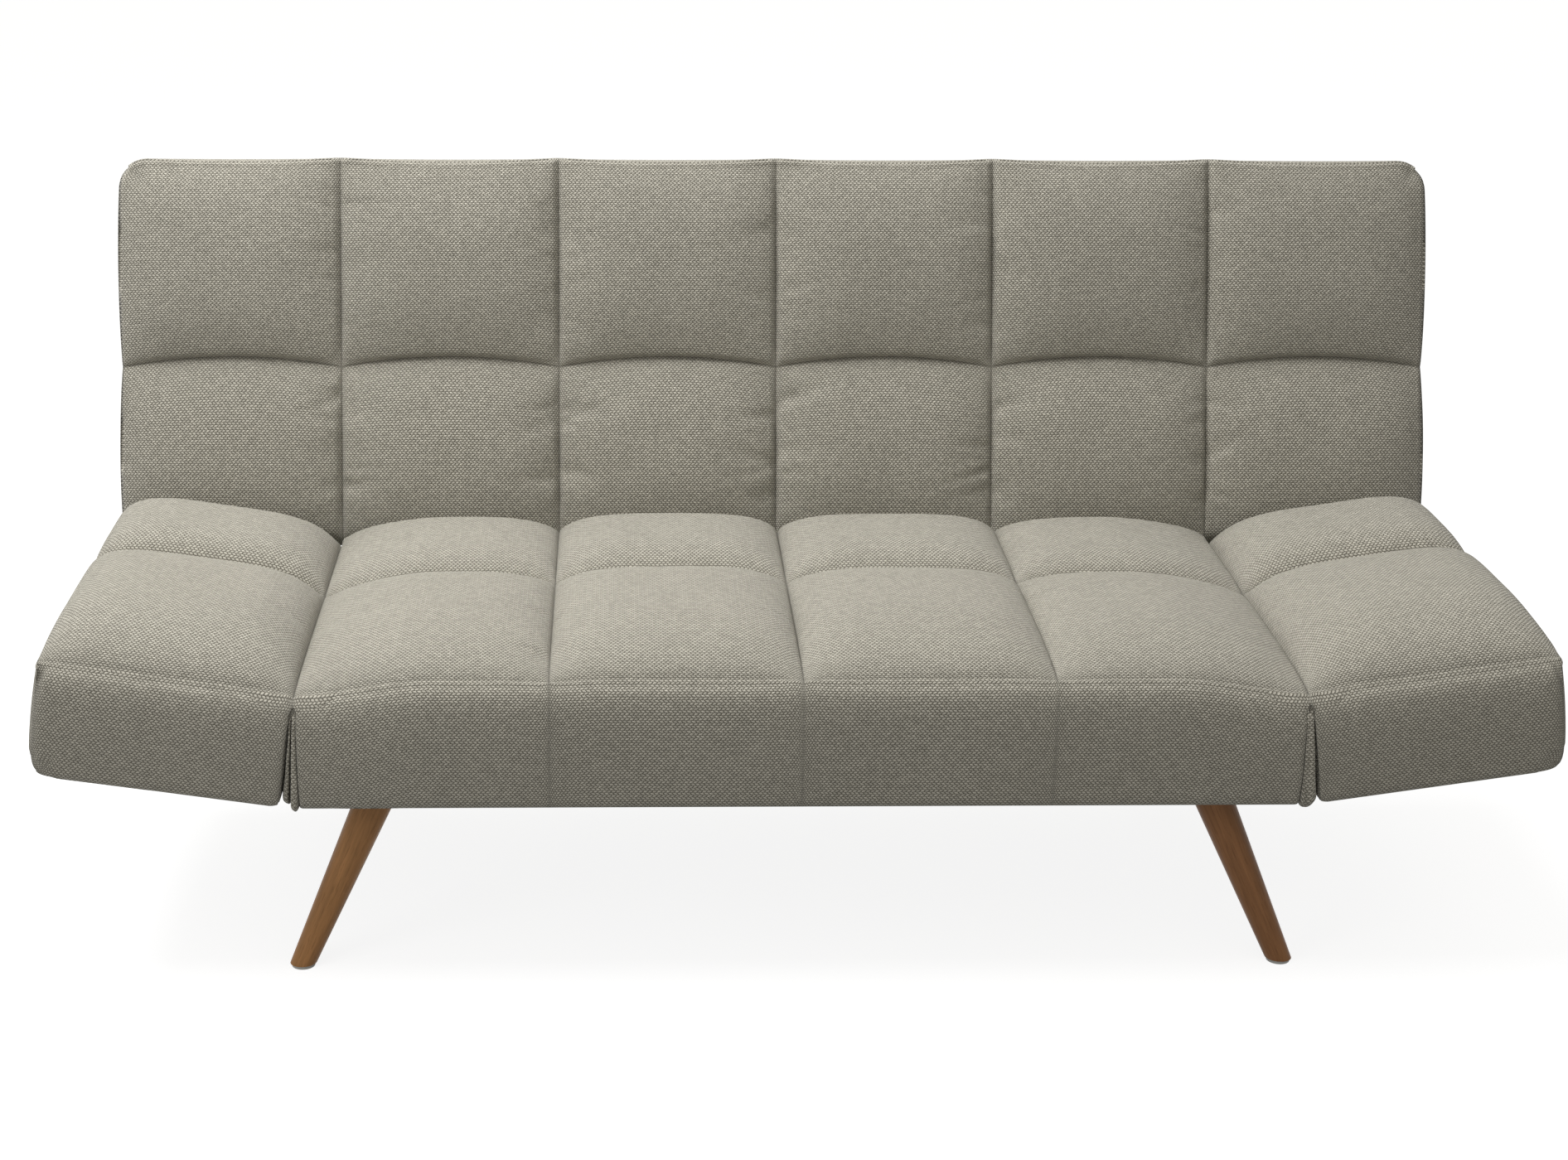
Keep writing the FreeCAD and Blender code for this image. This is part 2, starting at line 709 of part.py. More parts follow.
def arm_cushion():
    """The right arm's foam and cover, lying flat, with a recess below for its frame."""
    whole = column(seat_section, seat_half + arm_fold_gap, full_half, seat_crown, arm_rear_y)
    slots = at_arm(hinge_slot(arm_hinge, True, arm_recess_top))
    return cut_all(whole, [arm_recess(), arm_valley(), arm_corner()] + slots)


def dust_cover(x, y, openings):
    """A thin cloth across the recess under a cushion."""
    sheet = box(x, y, (underside_height, underside_height + dust_cover_thickness))
    return cut_all(sheet, openings)


def leg_places():
    """How far back each right-hand leg stands, and how it is splayed."""
    rear_y = rear_rail_y[1] - leg_plate_length / 2
    return [(front_y + front_leg_inset, front_leg_splay), (rear_y, rear_leg_splay)]


def leg_axis(y, splay):
    """The middle of a leg's top, and the direction down the leg."""
    down = V(math.tan(math.radians(splay[0])), math.tan(math.radians(splay[1])), -1)
    return V(seat_joist_x, y, underside_height), down


def foot_centre(y, splay):
    """The middle of the underside of a leg's foot, where its glide begins."""
    top, down = leg_axis(y, splay)
    return top + down * (underside_height - glide_thickness)


def leg_boss_bore(y, splay):
    """The round hole in a joist's lower wall that a leg plate's boss passes through."""
    return Part.makeCylinder(leg_boss_radius + leg_boss_clearance, tube_wall * 2,
                             V(seat_joist_x, y, seat_frame_z - tube_wall / 2))


def leg_screw_places(y):
    offset = leg_plate_length / 2 - leg_plate_screw_margin
    return [(seat_joist_x, y - offset), (seat_joist_x, y + offset)]


def bolt_rod(y, splay, radius, below, above):
    """A rod along a leg's bolt, from below the leg's top to above it."""
    top, down = leg_axis(y, splay)
    unit = V(down).normalize()
    return Part.makeCylinder(radius, below + above, top + unit * below, -unit)


def leg(y, splay):
    """A tapered leg, cut level at both ends and bored for its bolt and its glide."""
    top, down = leg_axis(y, splay)
    height = underside_height - glide_thickness
    length = down.Length * height
    spare = leg_top_radius
    taper = (leg_top_radius - leg_foot_radius) / length
    unit = V(down).normalize()
    cone = Part.makeCone(leg_top_radius + taper * spare, leg_foot_radius - taper * spare,
                         length + 2 * spare, top - unit * spare, unit)
    slab = box((0, full_half), (front_y - seat_depth, hinge_y + seat_depth),
               (glide_thickness, underside_height))
    foot = foot_centre(y, splay)
    bolt_bore = bolt_rod(y, splay, leg_bolt_radius + hole_clearance, leg_bolt_depth + fit_gap,
                         leg_boss_height)
    glide_bore = Part.makeCylinder(glide_spigot_radius + hole_clearance,
                                   glide_spigot_length + fit_gap, foot)
    return cone.common(slab).cut([bolt_bore, glide_bore])


def leg_glide(y, splay):
    """A plastic disc on the floor, with a peg up into the foot."""
    foot = foot_centre(y, splay)
    base = V(foot.x, foot.y, 0)
    return fused([Part.makeCylinder(glide_radius, glide_thickness, base),
                  Part.makeCylinder(glide_spigot_radius, glide_thickness + glide_spigot_length, base)])


def leg_plate(y, splay):
    """A steel plate under the joist, with a slanted threaded boss for the leg's bolt."""
    half_x, half_y = leg_plate_width / 2, leg_plate_length / 2
    z = (underside_height, seat_frame_z)
    plate = box((seat_joist_x - half_x, seat_joist_x + half_x), (y - half_y, y + half_y), z)
    upright = [e for e in plate.Edges if abs(e.tangentAt(e.FirstParameter).z) > 0.5]
    plate = plate.makeFillet(leg_plate_corner, upright)
    above = box((seat_joist_x - half_x, seat_joist_x + half_x), (y - half_y, y + half_y),
                (z[1], z[1] + leg_boss_height))
    boss = bolt_rod(y, splay, leg_boss_radius, 0, 2 * leg_boss_height).common(above)
    drills = [bolt_rod(y, splay, leg_bolt_radius + hole_clearance, leg_bolt_depth,
                       3 * leg_boss_height)]
    drills += [Part.makeCylinder(screw_radius + hole_clearance, leg_plate_thickness, V(px, py, z[0]))
               for px, py in leg_screw_places(y)]
    return cut_all(fused([plate, boss]), drills)


def leg_bolt(y, splay):
    """The threaded rod that joins a leg to its plate."""
    return bolt_rod(y, splay, leg_bolt_radius, leg_bolt_depth, leg_boss_height)


def leg_plate_screws(y):
    """Two round-headed screws up into the joist."""
    return [fused([Part.makeCylinder(screw_radius, screw_length, V(px, py, underside_height)),
                   Part.makeCylinder(screw_head_radius, screw_head_height,
                                     V(px, py, underside_height - screw_head_height))])
            for px, py in leg_screw_places(y)]


def gusset():
    """The pleated strip of cloth in the slit between the seat and the right arm."""
    tilt = math.radians(arm_rest_angle)
    inner = seat_half - arm_fold_gap + fit_gap
    y = front_y + gusset_inset
    wires = []
    for level in gusset_levels:
        z = underside_height + level
        opening = arm_fold_gap / math.cos(tilt) + (arm_pivot_z - z) * math.tan(tilt)
        width = seat_half + opening - fit_gap - inner
        near = [V(inner + across * width, y + depth * gusset_fullness * width, z)
                for across, depth in gusset_pleats]
        far = [point + Y_AXIS * gusset_thickness for point in reversed(near)]
        wires.append(Part.makePolygon(near + far + near[:1]))
    return Part.makeLoft(wires, True, True)


def seat_nodes():
    """The pieces that stay still: the middle seat, its legs and the fixed half of each hinge."""
    nodes = {"seat_cushion": seat_cushion(), "seat_frame": seat_frame()}
    slats, holders = slat_set(seat_slat_places(), front_rail_y[1], rear_rail_y[0],
                              seat_frame_z + seat_tube, seat_tube)
    nodes["seat_slats"] = slats
    nodes["seat_slat_holders"] = holders
    plates, bolts, screws, windows = [], [], [], []
    for place, (y, splay) in zip(("front", "rear"), leg_places()):
        for side, shape in (("left", mirrored), ("right", Part.Shape.copy)):
            nodes[place + "_" + side + "_leg"] = shape(leg(y, splay))
            nodes[place + "_" + side + "_glide"] = shape(leg_glide(y, splay))
        plates.append(leg_plate(y, splay))
        bolts.append(leg_bolt(y, splay))
        screws += leg_plate_screws(y)
        windows.append(box(
            (seat_joist_x - leg_plate_width / 2 - fit_gap, seat_joist_x + leg_plate_width / 2 + fit_gap),
            (y - leg_plate_length / 2 - fit_gap, y + leg_plate_length / 2 + fit_gap),
            (underside_height, seat_frame_z)))
    nodes["leg_plates"] = both(Part.makeCompound(plates))
    nodes["leg_bolts"] = both(Part.makeCompound(bolts))
    nodes["leg_plate_screws"] = both(Part.makeCompound(screws))
    nodes["seat_dust_cover"] = dust_cover(
        (-seat_frame_half, seat_frame_half), (front_rail_y[0], rear_rail_y[1]),
        windows + [mirrored(w) for w in windows])
    nodes["right_gusset"] = gusset()
    nodes["left_gusset"] = mirrored(gusset())
    return nodes


def back_nodes():
    """The pieces that recline together."""
    slats, holders = slat_set(
        sorted([-x for x in outer_slat_places()] + seat_slat_places() + outer_slat_places()),
        back_rail_near + light_tube, back_rail_far - light_tube, back_frame_z + light_tube, light_tube)
    lining = box((-back_frame_half, back_frame_half), (back_rail_near, back_rail_far),
                 (back_underside_z, back_frame_z))
    flat = {"back_cushion": back_cushion(), "back_frame": back_frame(), "back_slats": slats,
            "back_slat_holders": holders, "back_lining": lining}
    return {name: raise_back(shape) for name, shape in flat.items()}


def arm_nodes():
    """The pieces that lift together at each end."""
    slats, holders = slat_set(outer_slat_places(), arm_front_rail_y + light_tube,
                              arm_rear_rail_y - light_tube, seat_frame_z + light_tube, light_tube)
    cover = dust_cover(arm_frame_x, arm_recess_y, [])
    flat = {"arm_cushion": arm_cushion(), "arm_frame": arm_frame(), "arm_slats": slats,
            "arm_slat_holders": holders, "arm_dust_cover": cover}
    nodes = {}
    for name, shape in flat.items():
        raised = raise_arm(shape)
        nodes["right_" + name] = raised
        nodes["left_" + name] = mirrored(raised)
    return nodes


def back_hinge_nodes():
    """The two hinges that the back folds on."""
    h = back_hinge
    fixed = at_back(fixed_arm(h))
    moving = raise_back(at_back(moving_arm(h)))
    lifted = at_back(pawl(h))
    return {
        "left_back_hinge_fixed_arm": mirrored(fixed),
        "right_back_hinge_fixed_arm": fixed,
        "left_back_hinge_moving_arm": mirrored(moving),
        "right_back_hinge_moving_arm": moving,
        "left_back_pawl": mirrored(lifted),
        "right_back_pawl": lifted,
        "back_hinge_pins": both(at_back(hinge_pin(h))),
        "back_hinge_studs": both(Part.makeCompound([at_back(s) for s in hinge_studs(h)])),
        "back_pawl_springs": both(at_back(pawl_spring(h))),
        "back_hinge_seat_bolts": both(Part.makeCompound(
            [at_back(b) for b in hinge_bolts(h, False)])),
        "back_hinge_back_bolts": both(Part.makeCompound(
            [raise_back(at_back(b)) for b in hinge_bolts(h, True)]))}


def arm_hinge_nodes():
    """The two hinges that each arm folds on."""
    h = arm_hinge
    front_pawl, rear_pawl = at_arm([pawl(h)])
    moving = [raise_arm(shape) for shape in at_arm([moving_arm(h)])]
    moving_bolts = [raise_arm(shape) for shape in at_arm(hinge_bolts(h, True))]
    sided = {"arm_hinge_fixed_arms": Part.makeCompound(at_arm([fixed_arm(h)])),
             "arm_hinge_moving_arms": Part.makeCompound(moving),
             "arm_hinge_bolts": Part.makeCompound(moving_bolts),
             "arm_front_pawl": front_pawl, "arm_rear_pawl": rear_pawl}
    nodes = {"arm_hinge_pins": both(Part.makeCompound(at_arm([hinge_pin(h)]))),
             "arm_hinge_studs": both(Part.makeCompound(at_arm(hinge_studs(h)))),
             "arm_pawl_springs": both(Part.makeCompound(at_arm([pawl_spring(h)]))),
             "arm_hinge_seat_bolts": both(Part.makeCompound(at_arm(hinge_bolts(h, False))))}
    for name, shape in sided.items():
        nodes["right_" + name] = shape
        nodes["left_" + name] = mirrored(shape)
    return nodes


def main():
    os.makedirs("parts", exist_ok=True)
    nodes = {**seat_nodes(), **back_nodes(), **arm_nodes(), **back_hinge_nodes(),
             **arm_hinge_nodes()}
    for name, shape in nodes.items():
        shape.exportStep("parts/" + name + ".step")
        print(name, "solids", len(shape.Solids), "valid", shape.isValid(),
              "volume", round(shape.Volume))
    print("nodes", len(nodes))


main()
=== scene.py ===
import json
import math

import bpy
import numpy as np
from mathutils import Matrix, Vector


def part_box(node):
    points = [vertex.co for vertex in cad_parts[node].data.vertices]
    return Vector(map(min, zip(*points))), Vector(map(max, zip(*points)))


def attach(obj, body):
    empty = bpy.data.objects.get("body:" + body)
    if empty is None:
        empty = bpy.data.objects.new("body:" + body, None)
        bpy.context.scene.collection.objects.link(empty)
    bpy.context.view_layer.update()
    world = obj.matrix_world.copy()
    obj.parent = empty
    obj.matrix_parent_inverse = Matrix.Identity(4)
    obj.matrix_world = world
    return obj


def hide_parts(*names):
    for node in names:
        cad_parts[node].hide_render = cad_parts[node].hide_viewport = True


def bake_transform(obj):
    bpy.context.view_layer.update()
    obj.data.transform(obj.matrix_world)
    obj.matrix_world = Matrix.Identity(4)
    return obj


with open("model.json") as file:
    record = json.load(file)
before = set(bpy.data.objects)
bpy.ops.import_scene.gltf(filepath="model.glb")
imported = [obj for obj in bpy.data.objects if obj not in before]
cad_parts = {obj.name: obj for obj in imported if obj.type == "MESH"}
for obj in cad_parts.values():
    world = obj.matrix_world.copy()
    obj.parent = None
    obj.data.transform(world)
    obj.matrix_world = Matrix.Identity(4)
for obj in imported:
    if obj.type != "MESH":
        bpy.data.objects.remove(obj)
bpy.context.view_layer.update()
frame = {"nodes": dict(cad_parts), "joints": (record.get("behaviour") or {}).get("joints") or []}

# Metres, in the frame's own axes. The seat and arms are made lying flat, as a bed, and so is
# the back. Each is then turned up about its hinge, as far as the frame says it rests.
joints = {joint["name"]: joint for joint in frame["joints"]}
back_pivot = Vector(joints["back_recline"]["pos_m"])
arm_pivot = Vector(joints["right_arm_lift"]["pos_m"])
back_turn = math.radians(joints["back_recline"]["range_deg"][1])
back_forward = math.radians(-joints["back_recline"]["range_deg"][0])
arm_turn = math.radians(-joints["right_arm_lift"]["range_deg"][0])
arm_lift = math.radians(joints["right_arm_lift"]["range_deg"][1])

# The plan: four columns on the seat, one on each arm, six on the back, and two rows on each
seat_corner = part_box("seat_cushion")[0]
column_width = arm_pivot.x / 2
front_bulge = 0.004
arm_gap = 0.002
back_gap = 0.003
front_row_depth = 0.340
arm_rear_gap = 0.035
back_lower_length = 0.250
back_length = 0.536
seat_half = 2 * column_width
full_half = 3 * column_width
front_y = seat_corner.y + front_bulge
row_y = front_y + front_row_depth
rear_y = back_pivot.y - back_gap
arm_rear_y = back_pivot.y - arm_rear_gap
near_y = back_pivot.y + back_gap
back_row_y = back_pivot.y + back_lower_length
back_top_y = back_pivot.y + back_length
seat_columns = [column_width * n - seat_half for n in range(5)]
all_columns = [column_width * n - full_half for n in range(7)]
seat_rows = [front_y, row_y, rear_y]
arm_rows = [front_y, row_y, arm_rear_y]
back_rows = [near_y, back_row_y, back_top_y]

# Heights, and the recess under each cushion inside its turned-under rim
underside = seat_corner.z
band_height = 0.147
back_thickness = 0.120
seam_z = underside + band_height
back_underside = seam_z - back_thickness
rim = 0.022
rim_step = 0.0006
seat_recess = 0.052
back_recess = 0.040

# Tufts. A slope is how squarely and how fully a tuft rises from a seam.
seam_rise = 0.017
seam_rise_run = 0.160
seat_tuft_heights = (0.037, 0.044, 0.042, 0.034)
arm_tuft_height = 0.054
back_crown = 0.028
front_slope = (2.2, 0.8)
before_row_slope = (6, 0.6)
behind_row_slope = (4, 0.55)
arm_rear_slope = (4, 0.5)
seat_column_slope = (3.4, 0.55)
arm_end_slope = (4.5, 0.5)
back_column_slope = (3.2, 0.7)
back_lower_slope = (2.4, 0.9)
back_upper_slope = (2.6, 0.6)
back_top_slope = (2.2, 0.9)
bow_slope = (2, 1.0)
level_seed = 5
back_seed = 31
seat_seed = 3
arm_seed = 11
slit_seed = 21

# Edges and folds
edge_roll = 0.015
edge_drop = 0.006
roll_run_top = 0.032
roll_run_front = 0.013
seam_reach = 0.0004
crease_gap = 0.0006
crease_gap_run = 0.010
strip_half = 0.052
slit_start = 0.026
fold_margin = math.radians(3.5)
fold_ease = 0.0010
arm_rear_ease = 0.004

# How finely the covers are divided: beside a seam, elsewhere, and up the walls as shares
FINE = (0.0, 0.0015, 0.003, 0.0047, 0.007, 0.010, 0.014, 0.019, rim, rim + rim_step, 0.028, 0.036)
STEP = 0.005
SEAT_LEVELS = (0, .012, .028, .045, .065, .09, .13, .18, .24, .31, .38, .45, .52, .59, .66,
               .73, .79, .84, .88, .91, .935, .952, .967, .98, .99, 1.0)
BACK_LEVELS = (0, .015, .035, .055, .08, .11, .16, .22, .29, .37, .45, .53, .61, .69, .76,
               .82, .87, .905, .93, .95, .965, .98, .99, 1.0)


def smooth(t):
    t = np.clip(t, 0, 1)
    return t * t * (3 - 2 * t)


def hump(distance, width):
    """1 at no distance, falling to almost nothing at twice the width."""
    return np.exp(-(distance / width) ** 2)


def swell(share, squareness, fullness):
    """A tuft's height, as a share of its full height, across its width."""
    return np.maximum(0, 1 - np.abs(2 * share - 1) ** squareness) ** fullness


def soft_min(a, b, softness):
    """The lower of two heights, with the corner between them rounded."""
    low, high = np.minimum(a, b), np.maximum(a, b)
    return low - softness * np.log1p(np.exp((low - high) / softness))


def ripple(u, v, seed):
    """Smooth noise from -1 to 1 with about one bump per unit."""
    size = 64
    table = np.random.RandomState(seed).uniform(-1, 1, (size, size))
    iu, iv = np.floor(u).astype(int), np.floor(v).astype(int)
    fu, fv = smooth(u - iu), smooth(v - iv)
    a, b = table[iu % size, iv % size], table[(iu + 1) % size, iv % size]
    c, d = table[iu % size, (iv + 1) % size], table[(iu + 1) % size, (iv + 1) % size]
    return (a * (1 - fu) + b * fu) * (1 - fv) + (c * (1 - fu) + d * fu) * fv


def cell(value, seams):
    """Which stretch between seams a value is in, and how far along it, from 0 to 1."""
    seams = np.array(seams)
    which = np.clip(np.searchsorted(seams, value, side="right") - 1, 0, len(seams) - 2)
    share = (value - seams[which]) / (seams[which + 1] - seams[which])
    return which, np.clip(share, 0, 1)


def nearest(value, seams):
    return np.min(np.abs(value[..., None] - np.array(seams)), -1)


def sewn(x, y, columns, rows):
    """The points that lie on a seam between columns or rows."""
    return (nearest(x, columns) < seam_reach) | (nearest(y, rows) < seam_reach)


def stations(seams):
    """Places along a run of tufts, closest together beside the seams."""
    places = []
    for a, b in zip(seams, seams[1:]):
        near = [a + d for d in FINE]
        far = [b - d for d in reversed(FINE)]
        count = max(2, int(round((far[0] - near[-1]) / STEP)))
        places += near + list(np.linspace(near[-1], far[0], count + 1)[1:-1]) + far
    return np.unique(np.round(places, 7))


def corners(grid):
    """The four corners of each quad in a grid of point numbers or of UVs."""
    return np.stack([grid[:-1, :-1], grid[1:, :-1], grid[1:, 1:], grid[:-1, 1:]], 2)


def lattice(nx, ny, nz):
    """The surface of a box of nx by ny by nz points: each point's place, and the points by side."""
    i, j, k = np.meshgrid(np.arange(nx), np.arange(ny), np.arange(nz), indexing="ij")
    outside = (i == 0) | (i == nx - 1) | (j == 0) | (j == ny - 1) | (k == 0) | (k == nz - 1)
    number = np.full(i.shape, -1)
    number[outside] = np.arange(outside.sum())
    sides = {
        "top": number[:, :, -1], "bottom": number[:, ::-1, 0],
        "front": number[:, 0, :], "rear": number[::-1, -1, :],
        "right": number[-1, :, :], "left": number[0, ::-1, :]}
    return i[outside], j[outside], k[outside], sides


def round_edge(p, a, b, corner_a, corner_b, inward_a, inward_b, radius):
    """Round the edge where two faces of a box meet, seen in the plane of axes a and b."""
    tiny = 1e-9
    from_a = radius - (p[:, a] - corner_a) * inward_a
    from_b = radius - (p[:, b] - corner_b) * inward_b
    hit = (from_a > 0) & (from_b > 0)
    share = np.where(hit, np.maximum(from_a, from_b) / np.maximum(np.hypot(from_a, from_b), tiny), 1.0)
    p[:, a] = np.where(hit, corner_a + inward_a * (radius - from_a * share), p[:, a])
    p[:, b] = np.where(hit, corner_b + inward_b * (radius - from_b * share), p[:, b])


def turn(p, pivot, axis, angle):
    """Turn points about an axis through pivot, all by one angle or each by its own. 0 is X and 1 is Y."""
    q = p - np.array(pivot)
    c, s = np.cos(angle), np.sin(angle)
    a, b = ((1, 2), (2, 0))[axis]
    qa, qb = q[:, a] * c - q[:, b] * s, q[:, a] * s + q[:, b] * c
    q[:, a], q[:, b] = qa, qb
    return q + np.array(pivot)


# Seams, wrinkles and edges
def puckers(x, y, columns, rows, seed, size):
    """Small pulls in the cloth, square to the seams and fading away from them, over broad unevenness."""
    column_pitch, column_lean, column_drift, column_reach, column_hold = 0.030, 0.11, 0.15, 0.035, 0.010
    row_pitch, row_drift, row_reach, row_share, row_hold = 0.034, 0.2, 0.022, 0.6, 0.008
    broad_x, broad_y, broad_share = 0.075, 0.065, 0.35
    from_column = nearest(x, columns)
    from_row = nearest(y, rows)
    across = ripple(y / column_pitch + from_column / column_lean, x / column_drift, seed)
    along = ripple(x / row_pitch, y / row_drift, seed + 1)
    broad = ripple(x / broad_x, y / broad_y, seed + 2)
    total = across * np.exp(-from_column / column_reach) + row_share * along * np.exp(-from_row / row_reach)
    hold = smooth(from_column / column_hold) * smooth(from_row / row_hold)
    return size * hold * (total + broad_share * broad)


def pulls(x, y, columns, row, seed):
    """Short folds that run out from the column seams, where the cloth is pulled."""
    folds_a_side, first, last = 4, 0.15, 0.85
    least = {"lean": -0.5, "length": 0.025, "width": 0.005, "size": 0.4}
    most = {"lean": 0.5, "length": 0.060, "width": 0.010, "size": 1.0}
    held = 0.006
    chance = np.random.RandomState(seed)
    depth = np.zeros(np.broadcast(x, y).shape)
    for seam in columns:
        for side in (-1, 1):
            for place in chance.uniform(first, last, folds_a_side):
                lean, length, width, size = chance.uniform(tuple(least.values()), tuple(most.values()))
                distance = (x - seam) * side
                offset = y - row[0] - place * (row[1] - row[0]) - lean * distance
                fold = hump(offset, width) * hump(distance, length) * smooth(distance / held)
                depth += np.where(distance > 0, size * fold, 0)
    return depth


def stitched_edge(distance):
    """The profile of a stitched seam beside its edge: a fine groove, then a low ridge."""
    groove_depth, groove_width = 0.0014, 0.0012
    ridge_height, ridge_place, ridge_width = 0.0010, 0.0045, 0.0024
    ridge = ridge_height * hump(distance - ridge_place, ridge_width)
    return ridge - groove_depth * hump(distance, groove_width)


def folded_edge(distance):
    """The profile of a lapped seam: a raised lip at the edge and a fine groove behind it."""
    lip_height, groove_depth, groove_place, width = 0.0012, 0.0008, 0.0040, 0.0014
    return lip_height * hump(distance, width) - groove_depth * hump(distance - groove_place, width)


def front_roll(distance, run):
    """How far the seat's front edge is rolled back, on its top and its front."""
    return edge_roll * np.exp(-distance / run)


def back_wedge(from_hinge):
    """The height that a cushion may reach beside the back hinges, so that the back can fold forward."""
    half = (back_turn + back_forward + fold_margin) / 2
    return back_pivot.z + from_hinge / math.tan(half)


# Seat and arms, lying level
def level_top(x, y):
    """The height of the tufted top of the seat and the arms, creases and all."""
    pucker_depth, pull_depth, wedge_round = 0.0020, 0.0012, 0.003
    from_crease = seat_half - np.abs(x)
    column, across = cell(x, all_columns)
    heights = np.array((arm_tuft_height,) + seat_tuft_heights + (arm_tuft_height,))[column]
    base = seam_z + seam_rise * smooth(from_crease / seam_rise_run)
    front = (y - front_y) / (row_y - front_y)
    front = np.where(front < 0.5, swell(front, *front_slope), swell(front, *before_row_slope))
    on_seat = (y - row_y) / (rear_y - row_y)
    on_seat = np.where(on_seat < 0.5, swell(on_seat, *behind_row_slope), 1.0)
    on_arm = (y - row_y) / (arm_rear_y - row_y)
    on_arm = np.where(on_arm < 0.5, swell(on_arm, *behind_row_slope), swell(on_arm, *arm_rear_slope))
    along = np.where(y < row_y, front, np.where(from_crease > 0, on_seat, on_arm))
    outer = np.abs(x) > seat_half + column_width / 2
    side = np.where(outer, swell(across, *arm_end_slope), swell(across, *seat_column_slope))
    z = base + heights * side * along
    z += puckers(x, y, seat_columns, [row_y], level_seed, pucker_depth)
    z -= pull_depth * pulls(x, y, seat_columns, (front_y, row_y), level_seed + 3)
    z += folded_edge(y - front_y) - edge_drop * np.exp((front_y - y) / roll_run_top)
    return soft_min(z, back_wedge(back_pivot.y - y), wedge_round)


def cover_top(x, y):
    """The height of a cover's own top, sunk at the crease to leave room for its cloth and the fold."""
    sunk, sunk_ramp, rear_ramp, fold_round = 0.0010, 0.006, 0.004, 0.0012
    from_crease = np.abs(np.abs(x) - seat_half)
    z = level_top(x, y) - sunk * (1 - smooth((from_crease - strip_half + sunk_ramp) / sunk_ramp))
    half = (arm_turn + arm_lift + fold_margin) / 2
    behind_arm = smooth((y - arm_rear_y - arm_rear_ease) / rear_ramp)
    fold = arm_pivot.z + (from_crease - fold_ease) / math.tan(half) + column_width * behind_arm
    return soft_min(z, fold, fold_round)


def inside_rim(x, y, columns, rows):
    """The points of a cushion's bottom that lie within its turned-under rim."""
    edge = rim + rim_step / 2
    return (x > columns[0] + edge) & (x < columns[-1] - edge) & (y > rows[0] + edge) & (y < rows[-1] - edge)


def seat_form(columns, rows, outer, seed):
    """A seat or arm cushion lying flat. outer tells which ends are a sofa end, not a crease."""
    wave_depth, wave_length, wave_turns, hem_length = 0.0012, 0.11, 0.7, 0.13
    end_bulge, end_low_round, end_front_round, end_rear_round = 0.003, 0.038, 0.016, 0.024
    slit_low_round = 0.012 if any(outer) else 0.004
    slit_round_top, slit_round_more, slit_round_start, slit_round_run = 0.0015, 0.005, 0.020, 0.050
    front_low_round = 0.012
    xs, ys, levels = stations(columns), stations(rows), np.array(SEAT_LEVELS)
    i, j, k, sides = lattice(len(xs), len(ys), len(levels))
    x, y, w = xs[i], ys[j], levels[k]
    top, front, rear = k == len(levels) - 1, j == 0, j == len(ys) - 1
    height = cover_top(x, y)
    z = underside + (height - underside) * w
    z = np.where((k == 0) & inside_rim(x, y, columns, rows), underside + seat_recess, z)
    drop = height - z
    belly = 4 * w * (1 - w)
    wave = wave_depth * ripple(x / wave_length, w * wave_turns, seed + 7)
    hem = wave_depth * ripple(x / hem_length, y * 0, seed + 9) * (1 - w) ** 3
    p = np.stack([x, y, z], 1)
    p[:, 1] -= np.where(front & ~top, (front_bulge + wave) * belly + folded_edge(drop), 0)
    p[:, 1] -= np.where(front & top, folded_edge(0), 0)
    p[:, 1] += np.where(top, front_roll(y - rows[0], roll_run_top), 0)
    p[:, 1] += np.where(front & ~top, front_roll(drop, roll_run_front), 0)
    p[:, 2] -= np.where(front | rear, hem, 0)
    for end, inward, is_outer in ((0, 1, outer[0]), (len(xs) - 1, -1, outer[1])):
        at_end = i == end
        if is_outer:
            edge = xs[end]
            p[:, 0] -= np.where(at_end & ~top, inward * (end_bulge * belly + stitched_edge(drop)), 0)
            round_edge(p, 0, 2, edge, underside, inward, 1, end_low_round)
            round_edge(p, 0, 1, edge, rows[0], inward, 1, end_front_round)
            round_edge(p, 0, 1, edge, rows[-1], inward, -1, end_rear_round)
        else:
            edge = xs[end] + inward * arm_gap
            gap = crease_gap + (arm_gap - crease_gap) * smooth(drop / crease_gap_run)
            p[:, 0] += np.where(at_end, inward * gap, 0)
            round_edge(p, 0, 2, edge, underside, inward, 1, slit_low_round)
            lower = smooth((seam_z - slit_round_start - p[:, 2]) / slit_round_run)
            round_edge(p, 0, 1, edge, rows[0], inward, 1, slit_round_top + slit_round_more * lower)
    round_edge(p, 1, 2, rows[0], underside, 1, 1, front_low_round)
    uvs = {side: side_cloth(side, grid, p, np.stack([x, y], 1), seat_cloth) for side, grid in sides.items()}
    return p, sides, uvs, top & sewn(x, y, seat_columns, [row_y])


# Cloths over the arms' creases and in their slits
def fold_share(p, sign, reach):
    """How far each point of a cloth across an arm's crease turns with the arm, from 0 to 1."""
    half = arm_turn / 2
    normal = np.array((sign * math.cos(half), 0, math.sin(half)))
    distance = (p - np.array((sign * seat_half, 0, arm_pivot.z))) @ normal
    return smooth((distance + reach) / (2 * reach))


